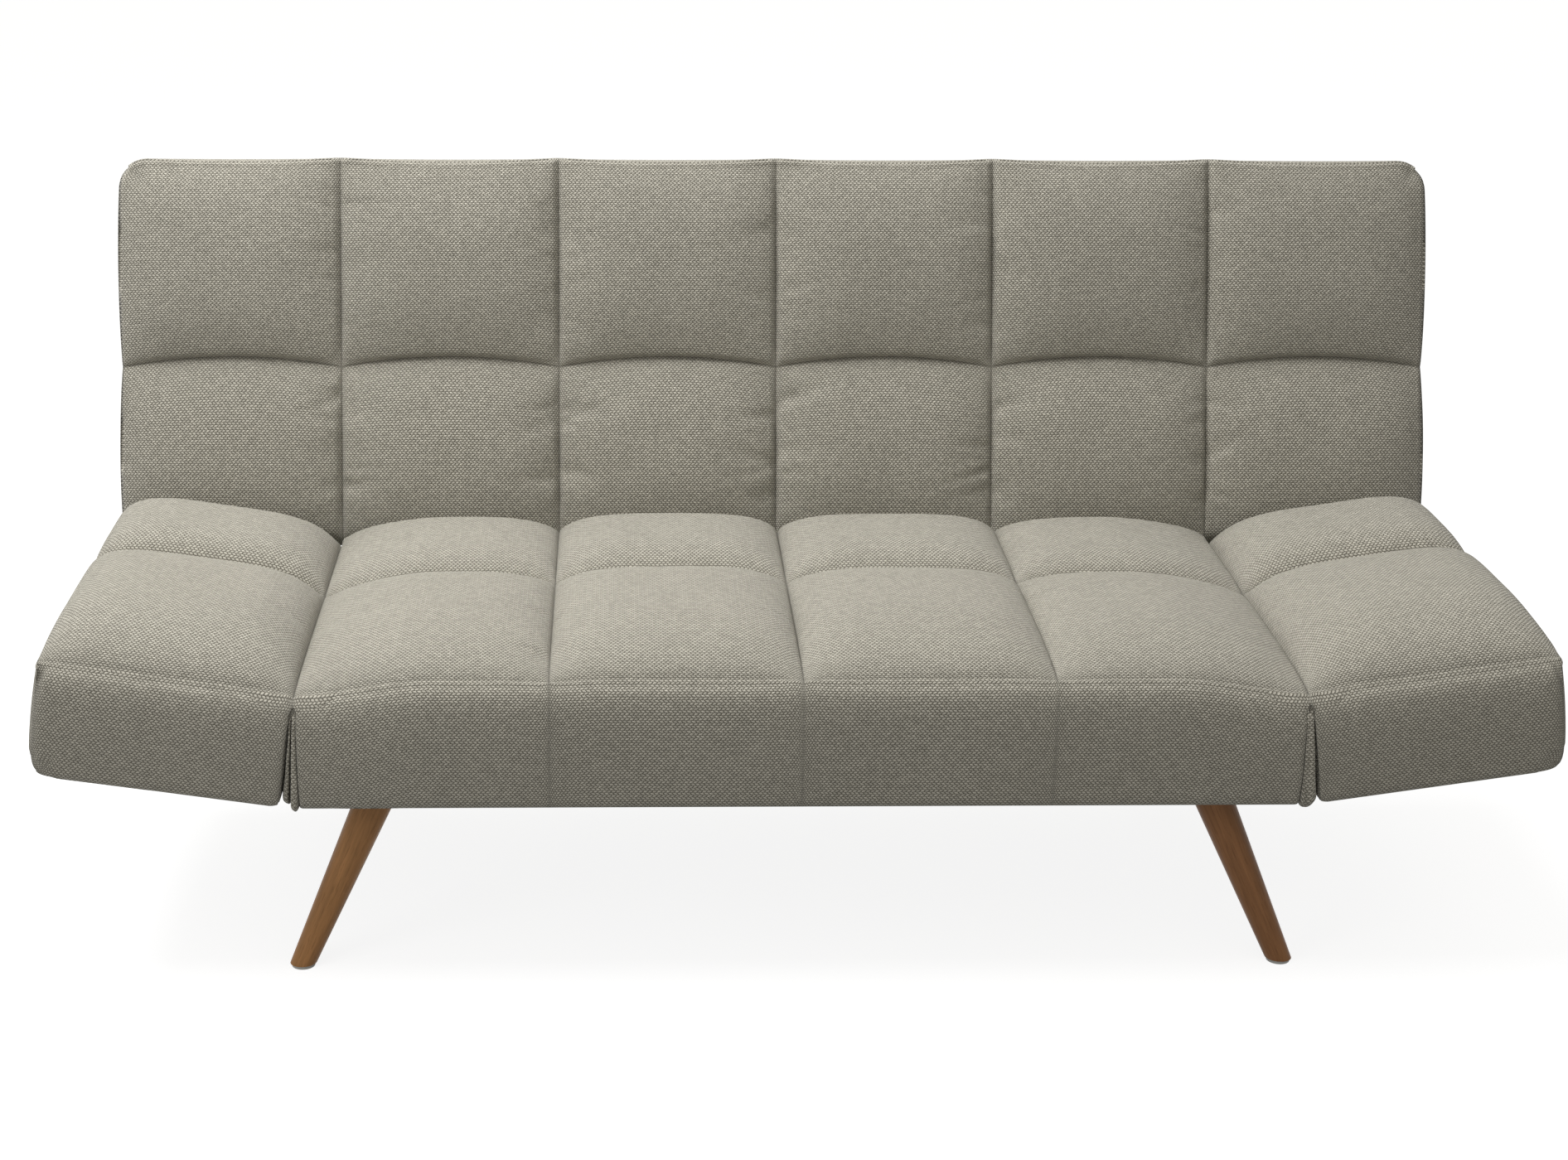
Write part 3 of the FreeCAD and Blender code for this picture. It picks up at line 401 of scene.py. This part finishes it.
def crease_form(sign):
    """The cloth that carries the seat's top over the crease to an arm, and a little way down in front."""
    across_fine = np.array(FINE + (0.044, strip_half))
    down = np.array([0.0010, 0.0025, 0.0045, 0.007, 0.010, 0.014, 0.018, 0.022, slit_start])
    seam_depth, seam_width, seam_end = 0.0014, 0.0016, 0.006
    proud_most, proud_share, clear = 0.0012, 0.25, 0.0002
    tuck_depth, tuck_start, tuck_run = 0.004, 0.018, 0.008
    taper, taper_power, crease_lip = 0.94, 1.5, 0.0012
    back_run = stations(arm_rows)[::-1]
    across = np.unique(np.concatenate([-across_fine, across_fine]))
    d, run = np.meshgrid(across, np.arange(len(back_run) + len(down)), indexing="ij")
    hanging = run >= len(back_run)
    flat_y = back_run[np.minimum(run, len(back_run) - 1)]
    fall = np.where(hanging, down[np.clip(run - len(back_run), 0, len(down) - 1)], 0)
    proud = proud_most * smooth((1 - np.abs(d) / strip_half) / proud_share) - clear
    proud -= tuck_depth * smooth((fall - tuck_start) / tuck_run)
    d = d * (1 - taper * smooth(fall / slit_start) ** taper_power)
    x = sign * (seat_half + d)
    seam = hump(d, seam_width) * (1 - smooth(fall / seam_end))
    z = level_top(x, flat_y) + clear - seam_depth * seam - fall
    across, along = seat_cloth(x, flat_y)
    uv = np.stack([across, along - fall], -1)
    roll = np.where(hanging, front_roll(fall, roll_run_front), front_roll(flat_y - front_y, roll_run_top))
    y = flat_y + roll - np.where(hanging, proud + folded_edge(fall) - crease_lip * seam, 0)
    p = np.stack([x, y, z], -1).reshape(-1, 3)
    angles = -sign * arm_turn * fold_share(p, sign, strip_half)
    eased = turn(p, (sign * seat_half, 0, arm_pivot.z), 1, angles)
    on_seam = ~hanging & ((np.abs(d) < seam_reach) | (np.abs(flat_y - row_y) < seam_reach))
    return eased.reshape(d.shape + (3,)), uv, on_seam


def gusset_form(roll, folds, seed):
    """The folded cloth in the slit beside the right arm: a roll beside the seat, and deep folds across it."""
    tuck, curl, curl_back = 0.0010, 0.012, 0.010
    fold_width, fold_wander, wander_height, fold_least, fold_growth = 0.05, 0.04, 0.05, 0.004, 0.6
    crumple, crumples_across, crumple_height = 0.0010, 5, 0.025
    beyond_depth, beyond_ramp, side_depth, side_width = 0.0030, 0.10, 0.004, 0.05
    top_depth, top_run = 0.005, 0.026
    arm_hem_lift, arm_hem_width, seat_hem_lift, seat_hem_width = 0.012, 0.22, 0.004, 0.10
    hem_start, hem_run, noise_shift = 0.08, 0.050, 7
    roll_sag, sag_share = 0.0045, 0.35
    start, steps_across, steps_down, curl_start, curl_steps = 0.008, 81, 44, 0.85, 8
    full = arm_pivot.z - underside
    across = np.linspace(0, 1, steps_across)
    hanging = np.linspace(start, full - curl, steps_down)
    down = np.concatenate([hanging, full - curl * np.linspace(curl_start, 0, curl_steps)])
    s, h = np.meshgrid(across, down, indexing="ij")
    left = seat_half - arm_gap - tuck
    right = seat_half + arm_gap / math.cos(arm_turn) + h * math.tan(arm_turn) + tuck
    width = right - left
    depth = 0
    for place in folds:
        wander = fold_wander * ripple(h / wander_height, h * 0 + noise_shift * place, seed)
        depth = depth + hump(s - place + wander, fold_width)
    share = 1 - (h + seam_z - arm_pivot.z) / band_height
    under = np.clip((h - full + curl) / curl, 0, 1)
    beyond = smooth((s - roll) / beyond_ramp)
    y = front_y - front_bulge * 4 * share * (1 - share) + tuck
    y += crumple * ripple(s * crumples_across, h / crumple_height, seed)
    y += depth * (fold_least + width * fold_growth) + beyond_depth * beyond
    y += side_depth * (hump(s, side_width) + hump(1 - s, side_width))
    y += top_depth * (1 - smooth(h / top_run)) + curl_back * under ** 2
    lift = arm_hem_lift * hump(1 - s, arm_hem_width) + seat_hem_lift * (hump(s, seat_hem_width) + beyond)
    sag = roll_sag * hump(s - roll / 2, sag_share * roll)
    z = arm_pivot.z - h + (lift - sag) * smooth((h - hem_start) / hem_run)
    x = left + width * s
    return np.stack([x, y, z], -1), np.stack([x, -h], -1), np.zeros(h.shape, bool)


# The back, lying flat
def back_top(x, y):
    """The height of the back's tufted face."""
    pinched, pinch_width, topped = 0.2, 0.007, 0.2
    pucker_depth, lower_pull_depth, upper_pull_depth, wedge_round = 0.0026, 0.0050, 0.0018, 0.0016
    seams = all_columns[1:-1]
    _, across = cell(x, all_columns)
    row, along = cell(y, back_rows)
    pinch = smooth(nearest(x, seams) / pinch_width)
    full = pinched * pinch + (1 - pinched) * swell(across, *back_column_slope)
    top_end = topped + (1 - topped) * swell(along, *back_top_slope)
    upper = np.where(along < 0.5, swell(along, *back_upper_slope), top_end)
    z = seam_z + back_crown * full * np.where(row == 0, swell(along, *back_lower_slope), upper)
    z += puckers(x, y, seams, back_rows, back_seed, pucker_depth)
    z -= lower_pull_depth * pulls(x, y, seams, back_rows[:2], back_seed)
    z -= upper_pull_depth * pulls(x, y, seams, back_rows[1:], back_seed + 1)
    return soft_min(z, back_wedge(y - back_pivot.y), wedge_round)


def back_form():
    """The back cushion lying flat."""
    arc_rise, arc_width = 0.014, 0.075
    hang_rise, hang_start, hang_run = 0.010, 0.05, 0.16
    dip_depth, dip_run_face, dip_run_top = 0.006, 0.030, 0.020
    side_bow, end_bulge, corner_inset = 0.004, 0.003, 0.002
    top_corner_round, low_corner_round, rear_round = 0.040, 0.020, 0.012
    xs, ys, levels = stations(all_columns), stations(back_rows), np.array(BACK_LEVELS)
    i, j, k, sides = lattice(len(xs), len(ys), len(levels))
    x, y, w = xs[i], ys[j], levels[k]
    top, far = k == len(levels) - 1, j == len(ys) - 1
    row, along = cell(y, back_rows)
    _, across = cell(x, all_columns)
    height = back_top(x, y)
    z = back_underside + (height - back_underside) * w
    z = np.where((k == 0) & inside_rim(x, y, all_columns, back_rows), back_underside + back_recess, z)
    drop = height - z
    belly = 4 * w * (1 - w)
    bow = swell(across, *bow_slope)
    arc = arc_rise * bow * hump(y - back_row_y, arc_width)
    hang = hang_rise * bow ** 0.5 * smooth(along / hang_start) * np.exp(-along / hang_run) * (row == 1)
    dip = dip_depth * bow
    p = np.stack([x, y, z], 1)
    p[:, 1] += np.where(top, arc - hang - dip * np.exp(-(back_top_y - y) / dip_run_face), 0)
    p[:, 1] -= np.where(far & ~top, dip * np.exp(-drop / dip_run_top), 0)
    p[:, 1] += np.where(far & ~top, front_bulge * belly + stitched_edge(drop), 0)
    p[:, 2] += np.where(top, stitched_edge(back_top_y - y) + stitched_edge(full_half - np.abs(x)), 0)
    for end, inward in ((0, 1), (len(xs) - 1, -1)):
        at_end = i == end
        p[:, 0] -= np.where(at_end & ~top, inward * (end_bulge * belly + stitched_edge(drop)), 0)
        p[:, 0] -= np.where(at_end, inward * side_bow * swell(along, *bow_slope), 0)
        round_edge(p, 0, 1, xs[end] - inward * corner_inset, back_rows[-1], inward, -1, top_corner_round)
        round_edge(p, 0, 1, xs[end], back_rows[0], inward, 1, low_corner_round)
        round_edge(p, 0, 2, xs[end], back_underside, inward, 1, rear_round)
    round_edge(p, 1, 2, back_rows[-1], back_underside, -1, 1, rear_round)
    uvs = {side: side_cloth(side, grid, p, np.stack([x, y], 1), back_cloth) for side, grid in sides.items()}
    return p, sides, uvs, top & sewn(x, y, all_columns[1:-1], [back_row_y])


# The lengths of cloth that give a weave its place, and the meshes
def along_surface(places, heights):
    """A function from a place to the length of cloth up to it from the first, over these heights."""
    lengths = np.concatenate([[0], np.cumsum(np.hypot(np.diff(places), np.diff(heights)))])
    return lambda value: np.interp(value, places, lengths)


def arc_length(points, axis):
    """The length along a grid's lines of points, from each line's first point."""
    steps = np.linalg.norm(np.diff(points, axis=axis), axis=2)
    start = np.zeros_like(np.take(steps, [0], axis=axis))
    return np.concatenate([start, np.cumsum(steps, axis)], axis)


def cloth_lengths(top, y_from_to, at_x, at_y):
    """A function from a place on a tufted top to the lengths of cloth up to it, across and along."""
    steps_across, steps_along = 1201, 401
    xs = np.linspace(-full_half, full_half, steps_across)
    ys = np.linspace(*y_from_to, steps_along)
    over_x = along_surface(xs, top(xs, 0 * xs + at_y))
    over_y = along_surface(ys, top(0 * ys + at_x, ys))
    return lambda x, y: (over_x(x), over_y(y))


def side_cloth(side, grid, p, flat, cloth):
    """UVs in metres for one side of a cushion: even over the top, so that the weave runs true."""
    across, along = cloth(flat[grid, 0], flat[grid, 1])
    if side in ("top", "bottom"):
        return np.stack([across, along], -1)
    up = arc_length(p[grid], 1)
    up -= up[:, -1:]
    run = across if side in ("front", "rear") else along
    return np.stack([run, up], -1)


def make_piece(name, p, sides, uvs, seams):
    """A mesh from points, each side's grid of points and UVs, and which points lie on a sewn seam."""
    mesh = bpy.data.meshes.new(name)
    faces = np.concatenate([corners(grid).reshape(-1, 4) for grid in sides.values()])
    cloth = np.concatenate([corners(uvs[side]).reshape(-1) for side in sides])
    on_seam = seams.astype(np.float32).reshape(-1)
    mesh.from_pydata(p.tolist(), [], faces.tolist())
    mesh.uv_layers.new(name="cloth").data.foreach_set("uv", cloth)
    mesh.polygons.foreach_set("use_smooth", np.ones(len(faces), bool))
    mesh.attributes.new("seam", "FLOAT", "POINT").data.foreach_set("value", on_seam)
    mesh.update()
    piece = bpy.data.objects.new(name, mesh)
    bpy.context.scene.collection.objects.link(piece)
    return piece


def sheet_piece(name, grid, uv, seams):
    """A thin cloth from a grid of points, with UVs in metres."""
    number = np.arange(grid[..., 0].size).reshape(grid.shape[:2])
    return make_piece(name, grid.reshape(-1, 3), {"face": number}, {"face": uv}, seams)


# Materials
class Nodes:
    """Short ways to add nodes to a material's or a world's tree."""

    def __init__(self, tree):
        self.tree = tree

    def link(self, source, target):
        if isinstance(source, bpy.types.NodeSocket):
            self.tree.links.new(source, target)
        else:
            target.default_value = source

    def node(self, kind, inputs=(), **settings):
        node = self.tree.nodes.new(kind)
        for name, value in settings.items():
            setattr(node, name, value)
        for key, value in dict(inputs).items():
            self.link(value, node.inputs[key])
        return node

    def math(self, operation, a, b=0.0):
        return self.node("ShaderNodeMath", {0: a, 1: b}, operation=operation).outputs[0]

    def vector_math(self, operation, inputs):
        return self.node("ShaderNodeVectorMath", inputs, operation=operation).outputs[0]

    def mix(self, factor, a, b, blend="MIX"):
        node = self.node("ShaderNodeMix", data_type="RGBA", blend_type=blend)
        self.link(factor, node.inputs[0])
        self.link(a, node.inputs[6])
        self.link(b, node.inputs[7])
        return node.outputs[2]

    def grey(self, value):
        return self.node("ShaderNodeCombineXYZ", {0: value, 1: value, 2: value}).outputs[0]

    def mapping(self, vector, **inputs):
        return self.node("ShaderNodeMapping", {"Vector": vector, **inputs}).outputs[0]

    def noise(self, vector, scale, detail=2.0, roughness=0.5):
        return self.node("ShaderNodeTexNoise", {"Vector": vector, "Scale": scale, "Detail": detail,
                                                "Roughness": roughness}).outputs[0]

    def span(self, value, low, high, to_low=0.0, to_high=1.0):
        return self.node("ShaderNodeMapRange", {0: value, 1: low, 2: high, 3: to_low, 4: to_high}).outputs[0]

    def bump(self, height, strength, distance):
        inputs = {"Height": height, "Strength": strength, "Distance": distance}
        return self.node("ShaderNodeBump", inputs).outputs[0]

    def coordinate(self, kind):
        return self.node("ShaderNodeTexCoord").outputs[kind]

    def seen(self):
        """1 where the camera, a mirror or a pane sees the surface, and 0 for the light that it gives."""
        path = self.node("ShaderNodeLightPath").outputs
        through = self.math("MAXIMUM", path["Is Glossy Ray"], path["Is Transmission Ray"])
        return self.math("MAXIMUM", path["Is Camera Ray"], through)


class Shader(Nodes):
    """A material, its nodes and its surface."""

    def __init__(self, name):
        self.material = bpy.data.materials.new(name)
        self.material.use_nodes = True
        super().__init__(self.material.node_tree)
        self.surface = self.tree.nodes["Principled BSDF"]

    def set(self, **values):
        for name, value in values.items():
            self.link(value, self.surface.inputs[name.replace("_", " ")])


def srgb(r, g, b):
    """A colour from its 0 to 255 display values."""
    def linear(v):
        v /= 255
        return v / 12.92 if v <= 0.04045 else ((v + 0.055) / 1.055) ** 2.4
    return (linear(r), linear(g), linear(b), 1.0)


def brighter(colour, gain):
    """The same colour, raised by a gain and a little more."""
    return tuple(min(1.0, c * gain + 0.01) for c in colour[:3]) + (1.0,)


def woven_fabric(name, dark, light, seam_shade, slub_length=0.0054, row_height=0.0031):
    """A chunky weave: rows of small slubs, each row shifted by half a slub and leaning the other way."""
    wander_scale, wander_size, lean, seam_shade_strength = 60.0, 0.0006, 0.35, 0.55
    side_power, rise_power, fibre_scale, fibre_size = 0.85, 0.45, 1500.0, 0.25
    s = Shader(name)
    cloth = s.coordinate("UV")
    wander = s.node("ShaderNodeTexNoise", {"Vector": cloth, "Scale": wander_scale, "Detail": 2.0}).outputs[1]
    offset = s.vector_math("SUBTRACT", {0: wander, 1: (0.5, 0.5, 0.5)})
    offset = s.vector_math("SCALE", {0: offset, "Scale": wander_size})
    place = s.vector_math("ADD", {0: cloth, 1: offset})
    along, up, _ = s.node("ShaderNodeSeparateXYZ", {0: place}).outputs
    rows = s.math("DIVIDE", up, row_height)
    row = s.math("FLOOR", rows)
    in_row = s.math("SUBTRACT", rows, row)
    odd = s.math("MODULO", s.math("ADD", row, 1000.0), 2.0)
    slant = s.math("SUBTRACT", lean, s.math("MULTIPLY", odd, 2 * lean))
    leaning = s.math("MULTIPLY", s.math("SUBTRACT", in_row, 0.5), slant)
    shift = s.math("ADD", s.math("MULTIPLY", odd, 0.5), leaning)
    slubs = s.math("ADD", s.math("DIVIDE", along, slub_length), shift)
    column = s.math("FLOOR", slubs)
    in_slub = s.math("SUBTRACT", slubs, column)
    side = s.math("MULTIPLY", s.math("MULTIPLY", in_slub, s.math("SUBTRACT", 1.0, in_slub)), 4.0)
    rise = s.math("MULTIPLY", s.math("MULTIPLY", in_row, s.math("SUBTRACT", 1.0, in_row)), 4.0)
    slub = s.math("MULTIPLY", s.math("POWER", side, side_power), s.math("POWER", rise, rise_power))
    key = s.node("ShaderNodeCombineXYZ", {0: column, 1: row, 2: 0.0}).outputs[0]
    chance = s.node("ShaderNodeTexWhiteNoise", {0: key}, noise_dimensions="3D").outputs[0]
    strands = s.mapping(cloth, Scale=(1.0, 0.22, 1.0))
    fibre = s.math("MULTIPLY", s.noise(strands, fibre_scale), fibre_size)
    height = s.math("ADD", s.math("MULTIPLY", slub, s.span(chance, 0.0, 1.0, 0.88, 1.0)), fibre)
    shade = s.span(height, 0.12, 0.95)
    tint = s.span(chance, 0.0, 1.0, 0.90, 1.08)
    blotch = s.span(s.noise(cloth, 7.0, 3.0), 0.3, 0.7, 0.98, 1.02)
    heather = s.span(s.noise(cloth, 240.0), 0.3, 0.7, 0.95, 1.05)
    gain = s.math("MULTIPLY", s.math("MULTIPLY", tint, blotch), heather)
    colour = s.mix(1.0, s.mix(shade, dark, light), s.grey(gain), "MULTIPLY")
    # Painted shade: points on a seam are darkened toward a dark colour, which stands in for the shade inside
    # the pinched seam grooves.
    seam = s.node("ShaderNodeAttribute", attribute_name="seam").outputs["Fac"]
    colour = s.mix(s.math("MULTIPLY", seam, seam_shade_strength), colour, seam_shade)
    s.set(Base_Color=colour, Normal=s.bump(height, strength=0.9, distance=0.0012),
          Roughness=s.span(shade, 0.0, 1.0, 0.98, 0.86),
          Specular_IOR_Level=0.18, Sheen_Weight=0.18, Sheen_Roughness=0.5)
    return s.material


def turned_wood(name, pale, deep, axis):
    """Stained wood with its grain along an axis."""
    s = Shader(name)
    turn_to = Vector(axis).rotation_difference(Vector((0, 0, 1))).to_euler()
    turned = s.mapping(s.coordinate("Object"), Rotation=tuple(turn_to))
    stretched = s.mapping(turned, Scale=(1.0, 1.0, 0.06))
    bands = s.noise(stretched, 95.0, detail=6.0, roughness=0.62)
    pores = s.noise(stretched, 620.0, detail=3.0, roughness=0.6)
    broad = s.noise(turned, 9.0)
    grain = s.math("ADD", s.math("MULTIPLY", bands, 0.75), s.math("MULTIPLY", broad, 0.25))
    colour = s.mix(s.span(grain, 0.34, 0.66), deep, pale)
    colour = s.mix(1.0, colour, s.grey(s.span(pores, 0.36, 0.46, 0.80, 1.0)), "MULTIPLY")
    s.set(Base_Color=colour, Roughness=s.span(grain, 0.3, 0.7, 0.46, 0.34),
          Normal=s.bump(pores, strength=0.25, distance=0.0004),
          Specular_IOR_Level=0.12, Coat_Weight=0.03, Coat_Roughness=0.35)
    return s.material


def coated_steel(name, colour, roughness, metallic, speck):
    """Painted or plated steel with fine texture and slight wear."""
    s = Shader(name)
    peel = s.noise(s.coordinate("Object"), speck, 3.0)
    stain = s.noise(s.coordinate("Object"), 14.0, 4.0)
    s.set(Base_Color=s.mix(s.span(stain, 0.35, 0.7), colour, brighter(colour, 1.35)), Metallic=metallic,
          Roughness=s.span(peel, 0.3, 0.7, roughness - 0.06, roughness + 0.08),
          Normal=s.bump(peel, strength=0.2, distance=0.0003))
    return s.material


def moulded_plastic(name, colour, roughness):
    """Plastic with a fine grain and a little dust."""
    s = Shader(name)
    grain = s.noise(s.coordinate("Object"), 900.0)
    dust = s.noise(s.coordinate("Object"), 40.0, 3.0)
    s.set(Base_Color=s.mix(s.span(dust, 0.35, 0.7), colour, brighter(colour, 1.15)),
          Roughness=s.span(grain, 0.3, 0.7, roughness - 0.05, roughness + 0.05),
          Normal=s.bump(grain, strength=0.2, distance=0.0002))
    return s.material


def lining_cloth(name, colour):
    """Thin non-woven cloth with a fine embossed dot pattern."""
    s = Shader(name)
    coordinate = s.coordinate("Object")
    dots = s.node("ShaderNodeTexVoronoi", {"Vector": coordinate, "Scale": 520.0}).outputs["Distance"]
    fibres = s.noise(coordinate, 260.0, detail=4.0)
    s.set(Base_Color=s.mix(s.span(fibres, 0.35, 0.65), colour, brighter(colour, 1.9)), Roughness=0.95,
          Normal=s.bump(dots, strength=0.4, distance=0.0005))
    return s.material


def assign(piece, material):
    piece.data.materials.clear()
    piece.data.materials.append(material)


def assign_nodes(material, names):
    for name in names:
        node = frame["nodes"][name]
        if not node.material_slots:
            node.data.materials.append(material)
        for place in node.material_slots:
            place.material = material


# The upholstery
tuft_middle = column_width / 2
seat_line = front_y + 0.22
back_line = back_row_y + 0.15
seat_cloth = cloth_lengths(level_top, (front_y, rear_y), tuft_middle, seat_line)
back_cloth = cloth_lengths(back_top, (near_y, back_top_y), tuft_middle, back_line)
# The third colour is the painted shade that darkens the seam lines.
fabric = woven_fabric("fabric", srgb(80, 75, 61), srgb(194, 190, 178), srgb(64, 60, 50))

seat_cover = make_piece("seat_cover", *seat_form(seat_columns, seat_rows, (False, False), seat_seed))
covers = [seat_cover]
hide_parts("seat_cushion")
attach(seat_cover, "seat")

# Each side's folds in the slit: where its roll ends and its deep folds lie, as shares from the seat
slit_rolls = {"left": 0.50, "right": 0.82}
slit_folds = {"left": (0.52, 0.90), "right": (0.88,)}
gusset_reach = 0.006

for side, sign in (("left", -1), ("right", 1)):
    arm_columns = all_columns[-2:] if sign > 0 else all_columns[:2]
    points, *rest = seat_form(arm_columns, arm_rows, (sign < 0, sign > 0), arm_seed + sign)
    points = turn(points, (sign * seat_half, 0, arm_pivot.z), 1, -sign * arm_turn)
    cover = make_piece(side + "_arm_cover", points, *rest)
    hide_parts(side + "_arm_cushion")
    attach(cover, side + "_arm")
    covers.append(cover)
    folded, *rest = gusset_form(slit_rolls[side], slit_folds[side], slit_seed + sign)
    folded[:, :, 0] *= sign
    gusset = sheet_piece(side + "_slit_gusset", folded, *rest)
    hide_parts(side + "_gusset")
    carried, *rest = crease_form(sign)
    strip = sheet_piece(side + "_crease_cloth", carried, *rest)
    cloths = ((gusset, folded, "folded", gusset_reach), (strip, carried, "stretched", strip_half))
    for cloth, grid, held, reach in cloths:
        assign(cloth, fabric)
        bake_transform(cloth)

points, *rest = back_form()
points = turn(points, (0, back_pivot.y, back_pivot.z), 0, back_turn)
back_cover = make_piece("back_cover", points, *rest)
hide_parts("back_cushion")
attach(back_cover, "backrest")
covers.append(back_cover)

for cover in covers:
    assign(cover, fabric)

# The legs, the frames and what holds them
# One stained wood for all four legs, but each leg's tone is written lighter or darker by how the light fell
# on it: painted light and shade.
leg_lit_tones = {"front_left_leg": (158, 116, 76), "front_right_leg": (138, 98, 66),
        "rear_left_leg": (136, 98, 64), "rear_right_leg": (130, 92, 60)}
pale_gain = 1.28
end_reach = 0.001
for name, lit_tone in leg_lit_tones.items():
    low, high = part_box(name)
    points = np.array([v.co for v in frame["nodes"][name].data.vertices])
    foot = points[points[:, 2] < low.z + end_reach].mean(0)
    head = points[points[:, 2] > high.z - end_reach].mean(0)
    pale = srgb(*(min(255, int(c * pale_gain)) for c in lit_tone))
    assign_nodes(turned_wood(name + "_wood", pale, srgb(*lit_tone), tuple(head - foot)), [name])

every = set(frame["nodes"])
assign_nodes(moulded_plastic("glide_grey", srgb(190, 190, 186), 0.45),
             [n for n in every if n.endswith("_glide")])
assign_nodes(lining_cloth("lining_black", srgb(38, 38, 40)),
             ["seat_dust_cover", "left_arm_dust_cover", "right_arm_dust_cover"])
assign_nodes(lining_cloth("back_lining_grey", srgb(96, 92, 84)), ["back_lining"])
assign_nodes(coated_steel("frame_paint", srgb(42, 43, 45), 0.48, 0.2, 900.0),
             ["seat_frame", "back_frame", "left_arm_frame", "right_arm_frame", "leg_plates"])
assign_nodes(coated_steel("zinc_plate", srgb(176, 176, 172), 0.36, 0.9, 300.0),
             [n for n in every if "hinge" in n or "pawl" in n or n in ("leg_bolts", "leg_plate_screws")])
assign_nodes(turned_wood("birch_ply", srgb(206, 172, 126), srgb(178, 140, 96), (0, 1, 0)),
             [n for n in every if n.endswith("_slats")])
assign_nodes(moulded_plastic("holder_black", srgb(36, 36, 38), 0.5),
             [n for n in every if n.endswith("_slat_holders")])

# Floor and light
white = (1.0, 1.0, 1.0, 1.0)
floor_grey = (0.32, 0.32, 0.32, 1.0)
warm = (1.0, 0.975, 0.91, 1.0)
bpy.ops.mesh.primitive_plane_add(size=60.0, location=(0, 0, 0))
floor = bpy.context.object
floor.name = "floor"
paper = Shader("floor_white")
paper.set(Base_Color=floor_grey, Roughness=0.9, Specular_IOR_Level=0.0, Emission_Color=white,
          Emission_Strength=paper.math("MULTIPLY", paper.seen(), 0.86))
assign(floor, paper.material)

world = bpy.data.worlds.new("studio")
bpy.context.scene.world = world
world.use_nodes = True
sky = Nodes(world.node_tree)
background = sky.tree.nodes["Background"]
toward = sky.node("ShaderNodeSeparateXYZ", {0: sky.coordinate("Generated")}).outputs
from_left = sky.span(toward[0], -1.0, 1.0, 1.10, 0.84)
from_above = sky.span(toward[2], -0.1, 1.0, 0.18, 0.59)
seen = sky.seen()
ambient = sky.math("MULTIPLY", from_above, from_left)
sky.link(sky.math("MAXIMUM", seen, ambient), background.inputs["Strength"])
sky.link(sky.mix(seen, warm, white), background.inputs["Color"])
middle = Vector((0, 0, 0.4))


def soft_light(name, place, width, height, watts):
    """A large lamp that points at the middle of the sofa."""
    lamp = bpy.data.lights.new(name, "AREA")
    lamp.shape = "RECTANGLE"
    lamp.size = width
    lamp.size_y = height
    lamp.energy = watts
    holder = bpy.data.objects.new(name, lamp)
    holder.location = place
    holder.rotation_euler = (middle - Vector(place)).to_track_quat("-Z", "Y").to_euler()
    bpy.context.scene.collection.objects.link(holder)


soft_light("overhead", (-1.0, 0.1, 3.2), 3.0, 2.2, 106)
soft_light("front_fill", (-3.2, -2.8, 1.9), 1.8, 1.8, 22)

# Camera, as it stood for the photograph
camera_x, camera_from_front, camera_height = -0.2152, -2.6641, 1.4926
pitch, yaw, roll = math.radians(19.73), math.radians(1.38), math.radians(0.35)
lens = bpy.data.cameras.new("camera")
lens.sensor_width = 36.0
lens.lens = 56.43
lens.shift_x = 0.0686
lens.clip_start = 0.05
lens.clip_end = 200.0
camera = bpy.data.objects.new("camera", lens)
bpy.context.scene.collection.objects.link(camera)
bpy.context.scene.camera = camera
forward = Vector((math.sin(yaw) * math.cos(pitch), math.cos(yaw) * math.cos(pitch), -math.sin(pitch)))
level = Vector((math.cos(yaw), -math.sin(yaw), 0))
square = level.cross(forward)
right = level * math.cos(roll) + square * math.sin(roll)
up = square * math.cos(roll) - level * math.sin(roll)
camera.matrix_world = Matrix((
    (right.x, up.x, -forward.x, camera_x),
    (right.y, up.y, -forward.y, camera_from_front + front_y),
    (right.z, up.z, -forward.z, camera_height),
    (0, 0, 0, 1)))
bpy.context.scene.view_settings.view_transform = "Standard"
